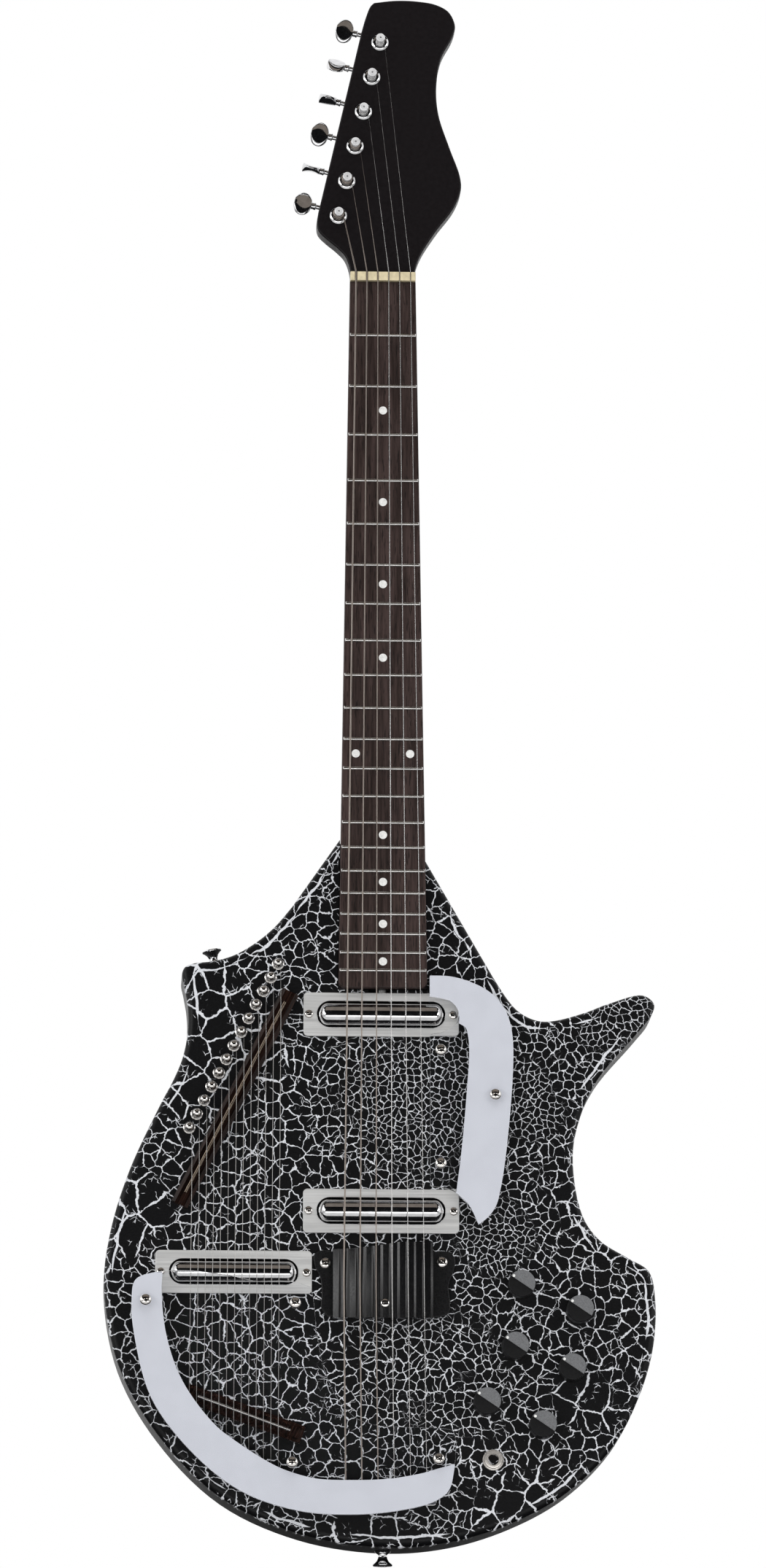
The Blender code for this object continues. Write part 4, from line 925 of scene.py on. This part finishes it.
# %% The playing strings
STRING_RADII = (0.52, 0.43, 0.35, 0.27, 0.21, 0.17)
WINDINGS = 3
TURN_STEPS = 28
COIL_FOOT = HEAD_FACE + 3
BLOCK_TOP = height_of("buzz_bridge_block")
wires = []
for index, (radius, post) in enumerate(zip(STRING_RADII, reversed(POSTS))):
    nut = Vector((-17.1 + 6.9 * index, SCALE_LENGTH + NUT_LENGTH / 2))
    way = (nut - post).normalized()
    leave = math.degrees(math.atan2(way.y, way.x)) + 90
    pitch = 2 * radius + 0.46
    top = COIL_FOOT + radius + WINDINGS * pitch
    coil = WAIST + 0.25 + radius
    coils = arc(*post, coil, coil, leave - 360 * WINDINGS, leave, WINDINGS * TURN_STEPS)
    path = [(*spot, top - pitch * step / TURN_STEPS) for step, spot in enumerate(coils)]
    over = BLOCK_TOP + radius + 0.1
    bridge_x, tail_x = -24.2 + 9.9 * index, -22.9 + 9.92 * index
    path += [(nut.x, SCALE_LENGTH + NUT_LENGTH, STRING_AT_NUT), (nut.x, SCALE_LENGTH, STRING_AT_NUT),
             (bridge_x, -2, over), (bridge_x, -9, over), (tail_x, -135, BODY_TOP + 6.7)]
    wires.append(wire(path, radius, 8))
piece("wound_strings", together(*wires[:3]), bronze_wound, "string_steel", replaces=["playing_strings"])
piece("plain_strings", together(*wires[3:]), plain_steel, "string_steel")

# %% The tailpiece under the armrest
tail = plate(rounded_box(-30, 33, -144, -132.8, 2), SEAT, SEAT + 1.6, 0.4, 2)
LIP_SECTION = ((-136, SEAT + 1), (-134, SEAT + 1), (-134, BODY_TOP + 8), (-134.5, BODY_TOP + 8.5),
               (-135.5, BODY_TOP + 8.5), (-136, BODY_TOP + 8))
lip = swept([[(x, *point) for point in LIP_SECTION] for x in (-28, 32)])
piece("tailpiece", together(tail, lip), chrome, "string_steel")

# %% [markdown]
# ## Sympathetic strings
#
# Thirteen thin strings ring along with the playing strings. Each starts at a harp peg on the left
# shoulder, which turns in its hole, goes over two rosewood bars with a fret on each, and ends at a bar
# under the armrest.

# %% Pegs
PIN_LINE = (Vector((-65.0, 193.5)), Vector((-119.6, 89.7)))
PINS = [PIN_LINE[0].lerp(PIN_LINE[1], index / (PEGS - 1)) for index in range(PEGS)]
PIN_COLLAR = ((0, -6), (2.2, -6), (2.2, 0), (3.75, 0), (3.85, 0.35), (3.75, 0.8), (3.3, 1.1), (2.5, 1.35))
PIN_HEAD = (*arc(0, 4.2, 3, 3, -48, 90, 14)[:-1], (0, 7.2))
for index, pin in enumerate(PINS):
    eye = moved(disc(0.55, -5, 5, 16), 0, 0, 4.6, about("Z", 30 + 23 * index) @ about("X", 90))
    solid = carved(turned([*PIN_COLLAR, *PIN_HEAD]), eye)
    piece(f"harp_pin_{index + 1}", moved(solid, *pin, SEAT), nickel, "chrome", f"peg_{index + 1}",
          [f"harp_peg_{index + 1}"])

# %% The two bars
UPPER_BAR = ((-57.2, 175.2), (-125.4, 41.0))
LOWER_BAR = ((-121.0, -76.0), (-49.3, -102.1))
BAR_TOP = SEAT + 7.2


def bar_fret_y(ends, x):
    (x0, y0), (x1, y1) = ends
    return y0 + (x - x0) * (y1 - y0) / (x1 - x0)


def along_bar(ends, section, inset):
    start, end = (Vector(p) for p in ends)
    run = (end - start).normalized()
    side = Vector((-run.y, run.x))
    return swept([[(*(p + side * across), z) for across, z in section]
                  for p in (start + run * inset, end - run * inset)])


bar_section = [(-5.5, SEAT), (5.5, SEAT), (5.5, BAR_TOP - 2.4)]
bar_section += [(5.5 - x, BAR_TOP - z) for z, x in arc(0, 0, 2.4, 2.4, 75, 0, 3)]
bar_section += [(-x, z) for x, z in reversed(bar_section[2:])]
crown = arc(0, BAR_TOP - 0.4, 1.1, 1.6, 0, 180, 10)
for name, ends in (("upper", UPPER_BAR), ("lower", LOWER_BAR)):
    piece(f"{name}_drone_bar", along_bar(ends, bar_section, 0), bridge_wood, "rosewood",
          replaces=[f"{name}_drone_bridge"])
    piece(f"{name}_drone_fret", along_bar(ends, crown, 8),
          drone_fret_metal if name == "upper" else fret_metal, "rosewood")

# %% The thirteen strings and their anchor
ANCHOR = ((-122.5, -101.0), (-60.5, -131.0))
DRONE_RADIUS = 0.16
CROWN_HEIGHT = 1.2
drone_wires = []
over = BAR_TOP + CROWN_HEIGHT + DRONE_RADIUS + 0.1
for pin in PINS:
    coils = arc(*pin, 3.25, 3.25, -180, 300, 20)
    path = [(*spot, SEAT + 4.4 - 0.1 * step) for step, spot in enumerate(coils)]
    for ends, aside, height in ((UPPER_BAR, 1.6, over), (LOWER_BAR, 0.7, over), (ANCHOR, 1, SEAT + 2.6)):
        path.append((pin.x + aside, bar_fret_y(ends, pin.x + aside), height))
    drone_wires.append(wire(path, DRONE_RADIUS, 2))
piece("drone_strings", together(*drone_wires), drone_steel, "string_steel",
      replaces=["sympathetic_strings"])
(ax, ay), (bx, by) = ANCHOR
anchor = plate(((ax, ay - 2), (bx, by - 2), (bx, by + 2), (ax, ay + 2)), SEAT, SEAT + 3.2, 0.5, 2)
piece("drone_anchor", anchor, chrome, "string_steel")

# %% [markdown]
# ## Pickups
#
# Each pickup is a chrome tube with domed ends, set in a brushed aluminium ring. The tube is turned on its
# own axis and laid down. The ring is a plate with a long slot, and a thin chrome lip lines the slot.

# %% Tubes, lips and rings
RING_TOP = SEAT + 2.0
TUBE_RADIUS = 7.7
TUBE_HEIGHT = 40.6
TUBE_DOME = 6
tube_half = TUBE_LENGTH / 2
for name, (x, y) in PICKUPS.items():
    side = arc(0, tube_half - TUBE_DOME, TUBE_RADIUS, TUBE_DOME, 90, 0, 12)
    side[0] = (0, tube_half)
    tube = turned([*[(r, -h) for r, h in side], *reversed(side)], 48)
    piece(f"chrome_tube_{name}", moved(tube, x, y, TUBE_HEIGHT, about("Y", 90)), chrome, "chrome",
          replaces=[f"pickup_tube_{name}"])
    ring = long_plate(x, y, 48.25, 13.75, 2.8, SEAT, RING_TOP, 0.45, 3)
    slot = long_plate(x, y, 40, 8.6, 8.55, SEAT - 5, RING_TOP + 5, steps=14)
    lip = carved(long_plate(x, y, 39.95, 8.55, 8.5, BODY_TOP - 1.5, RING_TOP + 0.25, 0.2, 2, steps=14),
                 long_plate(x, y, 39.3, 7.9, 7.85, TUBE_FLOOR, ABOVE, steps=14))
    piece(f"brushed_ring_{name}", carved(ring, slot), brushed, "brushed_aluminium",
          replaces=[f"pickup_ring_{name}"])
    piece(f"slot_lip_{name}", lip, chrome, "chrome")
    screws_at(f"ring_screws_{name}", [(x - 44.85, y), (x + 44.85, y)], 2.7, 1.5, RING_TOP - 0.1)

# %% [markdown]
# ## Buzz bridge
#
# This is the part that makes the sitar's sound: the strings lie along a long, almost flat plastic block
# and buzz on it. The block has pleats that run with the strings, each with a long slope and a short one.
# A grid is bent into them and closed below. Its base plate has an ear on each side for a screw.

# %% The base plate
ears = outline(
    ((-30, 12.6), (-38, 13.4), (-42.3, 10.5), (-41.8, 4), (-38.3, -4), (-37.4, -14), (-37.8, -22),
     (-34, -27.7)),
    ((-34, -27.7), (35, -27.7)),
    ((35, -27.7), (40.8, -25), (41.6, -18), (40.6, -8), (43.8, 1), (44.8, 8), (41.5, 12.8), (34, 13.2)),
    ((34, 13.2), (-30, 12.6)),
)
PLATE_TOP = SEAT + 2.2
piece("bridge_base", plate(ears, SEAT, PLATE_TOP, 0.5, 3), moulded_black, "bridge_plastic",
      replaces=["buzz_bridge_plate"])
screws_at("bridge_screws", [(-35.2, 5.3), (36.6, 6.4)], 3.5, 1.8, PLATE_TOP - 0.1)

# %% The ridged block
RIDGES = 12
BLOCK_HALF = 30.8
BLOCK_FOOT = -29.2
LONG_SLOPE = 0.64
block = bmesh.new()
bmesh.ops.create_grid(block, x_segments=RIDGES * 16, y_segments=24, size=1)
for vertex in block.verts:
    across, lengthwise = vertex.co.x, (vertex.co.y + 1) / 2
    x = across * BLOCK_HALF
    upper = 13.1 + 5.0 * min(max((x + BLOCK_HALF) / (1.35 * BLOCK_HALF), 0.0), 1.0) ** 1.6
    wave = ((x + BLOCK_HALF) / (2 * BLOCK_HALF) * RIDGES) % 1.0
    ridge = wave / LONG_SLOPE if wave < LONG_SLOPE else (1 - wave) / (1 - LONG_SLOPE)
    crown_lift = 0.9 * (1 - (2 * lengthwise - 1) ** 2)
    vertex.co = (x, BLOCK_FOOT + (upper - BLOCK_FOOT) * lengthwise,
                 BLOCK_TOP - 0.9 + crown_lift - (0.95 - 0.35 * across) * (1 - ridge))
rim_edges = [e for e in block.edges if e.is_boundary]
skirt = bmesh.ops.extrude_edge_only(block, edges=rim_edges)["geom"]
for vertex in (v for v in skirt if isinstance(v, bmesh.types.BMVert)):
    vertex.co.z = PLATE_TOP + GAP
bmesh.ops.holes_fill(block, edges=[e for e in block.edges if e.is_boundary], sides=0)
bmesh.ops.recalc_face_normals(block, faces=block.faces)
piece("ridged_block", block, gloss_black, "bridge_plastic", replaces=["buzz_bridge_block"])
screws_at("block_screw", [(1.2, -20.3)], 2.7, 1.0, BLOCK_TOP - 0.9)

# %% [markdown]
# ## Clear pickguard and armrest
#
# Both are clear acrylic sheet on spacers, with a white band painted on the underside along the outer
# edge. The paint is a thin piece of its own, just under the sheet. Light has to pass the sheet twice,
# which is why the band looks slightly blue and soft.

# %% The sheets
GUARD_RIM = ((29, 185.3), (41.6, 184.9), (52.9, 182), (64.7, 176.3), (72.8, 168.6), (77.8, 159.4),
             (80.5, 146), (80.3, 120.3), (75.8, 71.3), (72.4, 50.3), (69.9, 41.1), (65.3, 34.3), (59, 29.1))
GUARD_LINE = outline(
    GUARD_RIM,
    ((59, 29.1), (52.5, 42.1), (43, 50), (29, 53)),
    ((29, 53), (29, 148)),
    ((29, 148), (38, 150), (46, 155.6)),
    ((46, 155.6), (46.6, 163.5), (41.5, 169.7), (34.5, 171.5), (29, 172.3)),
)
GUARD_PAINT = outline(
    GUARD_RIM,
    ((59, 29.1), (56.6, 35.1), (52.5, 42.1), (47.6, 46.9), (45.4, 49.2)),
    ((45.4, 49.2), (45.8, 53.7), (47.7, 67.9), (50, 89.8), (52.3, 117.8), (53.5, 136.6), (52.8, 147.2),
     (51.3, 152.7), (47.2, 155.4)),
    ((47.2, 155.4), (47.3, 160), (46.1, 165.6), (41.5, 169.7), (34.5, 171.5), (29, 172.3)),
)
REST_RIM = ((-142.9, -3.7), (-152.4, -8), (-154.6, -20), (-152.8, -41.9), (-142.2, -80.4), (-118.4, -112.5),
            (-87.2, -137.4), (-52.4, -149.2), (-20.4, -151.5), (8.1, -149.1), (30.8, -143.4),
            (39.8, -136.6), (43, -125))
REST_LINE = outline(
    ((-78.3, -8.4), (-95.8, -4.7), (-120.9, -1.9), *REST_RIM, (44.7, -107.1)),
    ((44.7, -107.1), (42.5, -100), (35, -98.2)),
    ((35, -98.2), (-7.1, -96.2), (-18.2, -91.3), (-29, -79), (-35.7, -64), (-40.3, -44),
     (-42.9, -19.9), (-44.7, -11.8)),
    ((-44.7, -11.8), (-56.4, -8.3), (-78.3, -8.4)),
)
REST_PAINT = outline(
    ((-135.7, -2.9), *REST_RIM, (43.8, -120.1)),
    ((43.8, -120.1), (34, -122.8), (25.1, -125.5), (11.2, -128.3), (-0.4, -129.7), (-20.4, -130.3),
     (-39.6, -129.7), (-51.6, -127.1), (-65.9, -121.8), (-89.5, -107.4), (-104, -95.9), (-123.3, -69.5),
     (-133.1, -41.7), (-136.2, -13.8), (-135.7, -2.9)),
)


def clear_sheet(name, line, paint, underside, thickness, screws, node):
    piece(name, plate(line, underside, underside + thickness, 0.45, 3), acrylic, "clear_acrylic",
          replaces=[node])
    piece(f"{name}_paint", plate(paint, underside - 0.12, underside - 0.02), under_paint, "clear_acrylic")
    posts = [moved(disc(2.6, 0, underside - SEAT - 0.2, 28), x, y, SEAT) for x, y in screws]
    piece(f"{name}_spacers", together(*posts), nickel, "clear_acrylic")
    screws_at(f"{name}_screws", screws, 3.6, 2.2, underside + thickness + 0.02)


clear_sheet("clear_pickguard", GUARD_LINE, GUARD_PAINT, 48.5, 2.5,
            [(35.8, 138.3), (35.7, 67.1), (69.6, 110.5)], "pickguard")
clear_sheet("clear_armrest", REST_LINE, REST_PAINT, 55.0, 3.0,
            [(-146.0, -20.3), (-54.2, -21.7), (-55.9, -119.9), (33.8, -117.3)], "armrest")

# %% [markdown]
# ## Knobs, jack and strap buttons
#
# A knob is a black disc with its upper half raised as a half-moon. The half-moon is painted a lighter grey
# as painted light on its lit top face, and a white dot sits on the edge between them. The jack is a nickel
# sleeve with a rim. The strap buttons are flared cones.

# %% Knobs
KNOBS = ((85.6, -7.4), (121.6, -22.8), (81.5, -45.8), (116.5, -58.9), (64.1, -80.3), (98.4, -94.3))
POINTER = -34
KNOB_SEAT = SEAT + 0.4
SKIRT_SIDE = ((0, -15), (3, -15), (3, 0), (8.5, 0), (8.5, 0.5), (8.35, 9.1), (8.1, 9.5), (7.8, 9.7),
              (0, 9.7))
for index, (x, y) in enumerate(KNOBS):
    skirt = turned(SKIRT_SIDE, 64)
    moon = plate(arc(0, 0, 8.15, 8.15, 0, 180, 32), 9, 10.5, 0.22, 3, top_only=True)
    dot = moved(disc(0.85, 0, 0.12, 24), -6.7, 0.9, 10.46)
    knob = f"knob_{index + 1}"
    # The moon takes the lighter grey, which is painted light for its lit top face.
    for kind, solid, material, stands_for in (("skirt", skirt, knob_black, [knob]),
                                              ("moon", moon, lit_knob_grey, ()), ("dot", dot, pearl, ())):
        moved(solid, x, y, KNOB_SEAT, about("Z", POINTER))
        piece(f"knob_{kind}_{index + 1}", solid, material, "black_plastic", knob, stands_for)

# %% Jack
jack = turned([(3.4, -27), (4.7, -27), (4.7, 0), (6.5, 0), (6.5, 0.5), (6.2, 0.9), (5.6, 1), (5.6, 2.2),
               (5.3, 2.7), (4.6, 2.9), (3.7, 2.9), (3.4, 2.6), (3.4, -27)], 48)
piece("jack_sleeve", moved(jack, 68.0, -115.6, SEAT), jack_nickel, "chrome", replaces=["output_jack"])

# %% Strap buttons
STRAP_SIDE = ((0, 0), (4.7, 0), (4.9, 0.4), (4.5, 1.2), (3.1, 2.2), (2.8, 3.2), (2.9, 4.6), (3.6, 6.2),
              (4.9, 7.6), (6, 8.3), (6.2, 8.8), (6, 9.3), (5.5, 9.5), (2.9, 9.5), (2.6, 9.2), (0, 9.2))
for name, at, way in (("end", (1, -169.3, BODY_TOP / 2), (0, -1, 0)),
                      ("side", (-104, 196.7, BODY_TOP / 2), (-0.2, 1, 0))):
    knob = together(turned(STRAP_SIDE, 40), moved(cross_screw(2.5, 0.3, 20), 0, 0, 9.2))
    piece(f"strap_knob_{name}", moved(knob, *at, pointing(way)), chrome, "chrome",
          replaces=[f"strap_button_{name}"])

# %% [markdown]
# ## The back
#
# The back is seldom looked at, but it is finished: a chrome plate with four screws holds the neck, and a
# black cover with small screws closes the control cavity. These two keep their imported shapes, as do the
# nut and the parts inside.

# %% Plates, cover and their screws
BACK_SCREWS = (("neck_plate_screws", "chrome", 4.2, 0.28, 20, 0.29,
                [(x, y) for x in (-18, 18) for y in (198, 246)]),
               ("cover_screws", "chrome", 2.6, 0.28, 15, 0.29,
                [(52, 0), (134, 0), (134, -62), (110, -113), (54, -127)]),
               ("tuner_screws", "tuner_metal", 1.6, 0.9, 31, STRIP_BACK,
                [post_at(index) + POST_LINE * 14.2 for index in range(TUNERS + 1)]))
for name, slot, radius, height, turn, z, places in BACK_SCREWS:
    heads = [moved(cross_screw(radius, height, turn * i), *at, z, about("X", 180))
             for i, at in enumerate(places)]
    piece(name, together(*heads), nickel, slot)
for node, material in (("nut", cream), ("neck_plate", chrome), ("control_cavity_cover", moulded_black),
                       ("control_plate", zinc_plate), ("truss_rod", zinc_plate)):
    frame["nodes"][node].data.materials.clear()
    frame["nodes"][node].data.materials.append(material)

# %% [markdown]
# ## Studio
#
# The photograph is lit for a catalogue: a white background with no shadow, dark reflections in the
# chrome, and a bright line along each tube. Large dark cards behind the camera, above and on the ground,
# which only reflections can see, make the chrome dark. A low strip lamp draws the bright line, and a card
# with a faint warm glow tints the upper part of each tube.

# %% The white background
SHADE = 0.55
world = bpy.data.worlds.new("studio")
scene.world = world
world.use_nodes = True
nodes, links = world.node_tree.nodes, world.node_tree.links
path_kind = nodes.new("ShaderNodeLightPath").outputs
seen = path_kind["Is Camera Ray"]
for kind in ("Is Transmission Ray", "Is Glossy Ray"):
    either = nodes.new("ShaderNodeMath")
    either.operation = "MAXIMUM"
    links.new(seen, either.inputs[0])
    links.new(path_kind[kind], either.inputs[1])
    seen = either.outputs[0]
strength = nodes.new("ShaderNodeMapRange")
strength.inputs["To Min"].default_value = SHADE
strength.inputs["To Max"].default_value = 1.0
links.new(seen, strength.inputs["Value"])
links.new(strength.outputs[0], nodes["Background"].inputs["Strength"])
nodes["Background"].inputs["Color"].default_value = (1, 1, 1, 1)

# %% Floor and cards


def card(name, size, at, tilt, material):
    """A flat card of the studio, tilted about the x axis by some degrees."""
    bm = bmesh.new()
    bmesh.ops.create_grid(bm, x_segments=1, y_segments=1, size=0.5)
    bmesh.ops.transform(bm, matrix=Matrix.Diagonal((*size, 1, 1)), verts=bm.verts)
    made = placed(name, mesh_of(name, bm), at, (math.radians(tilt), 0, 0))
    made.data.materials.append(material)
    return made


floor_paint = satin("pale_floor", (0.80, 0.80, 0.80), 0.8, 20, 0.00001, 0.1, 1.02)
card("floor", (30, 30), (0, 0, -0.9), 0, floor_paint)
card_paint = satin("dark_card", (0.012, 0.012, 0.013), 0.9, 20, 0.00001, 0.0)
warm_card = Finish("warm_card", Base_Color=(0.05, 0.045, 0.04, 1), Roughness=0.9, Emission_Strength=0.16,
                   Emission_Color=(1.0, 0.86, 0.74, 1))
for made in (card("dark_wall", (16, 9), (0, -5.4, 3.65), 90, card_paint),
             card("dark_table", (16, 8), (0, 3.25, -0.88), 0, card_paint),
             card("dark_ceiling", (16, 5.2), (0, -2.85, 8.1), 180, card_paint),
             card("warm_reflector", (4, 2.4), (0, -2.2, 3), 40, warm_card.material)):
    made.visible_camera = False
    made.visible_diffuse = False
    made.visible_shadow = False
    made.visible_transmission = False

# %% Lamps


def lamp(name, size, at, power):
    """A lamp with a rectangular face, aimed at the instrument's middle."""
    data = bpy.data.lights.new(name, "AREA")
    data.shape = "RECTANGLE"
    data.size, data.size_y = size
    data.energy = power
    return placed(name, data, at, (Vector((0, 0, 0.1)) - Vector(at)).to_track_quat("-Z", "Z").to_euler())


lamp("low_strip", (3.2, 0.34), (0, -2.6, -0.72), 9)
lamp("high_box", (3.0, 1.6), (0, -1.5, 2.4), 24).visible_glossy = False
lamp("left_box", (0.9, 1.8), (-2.3, -1.9, 0.6), 16)
lamp("right_box", (0.7, 1.4), (2.4, -2.1, 0.7), 11)
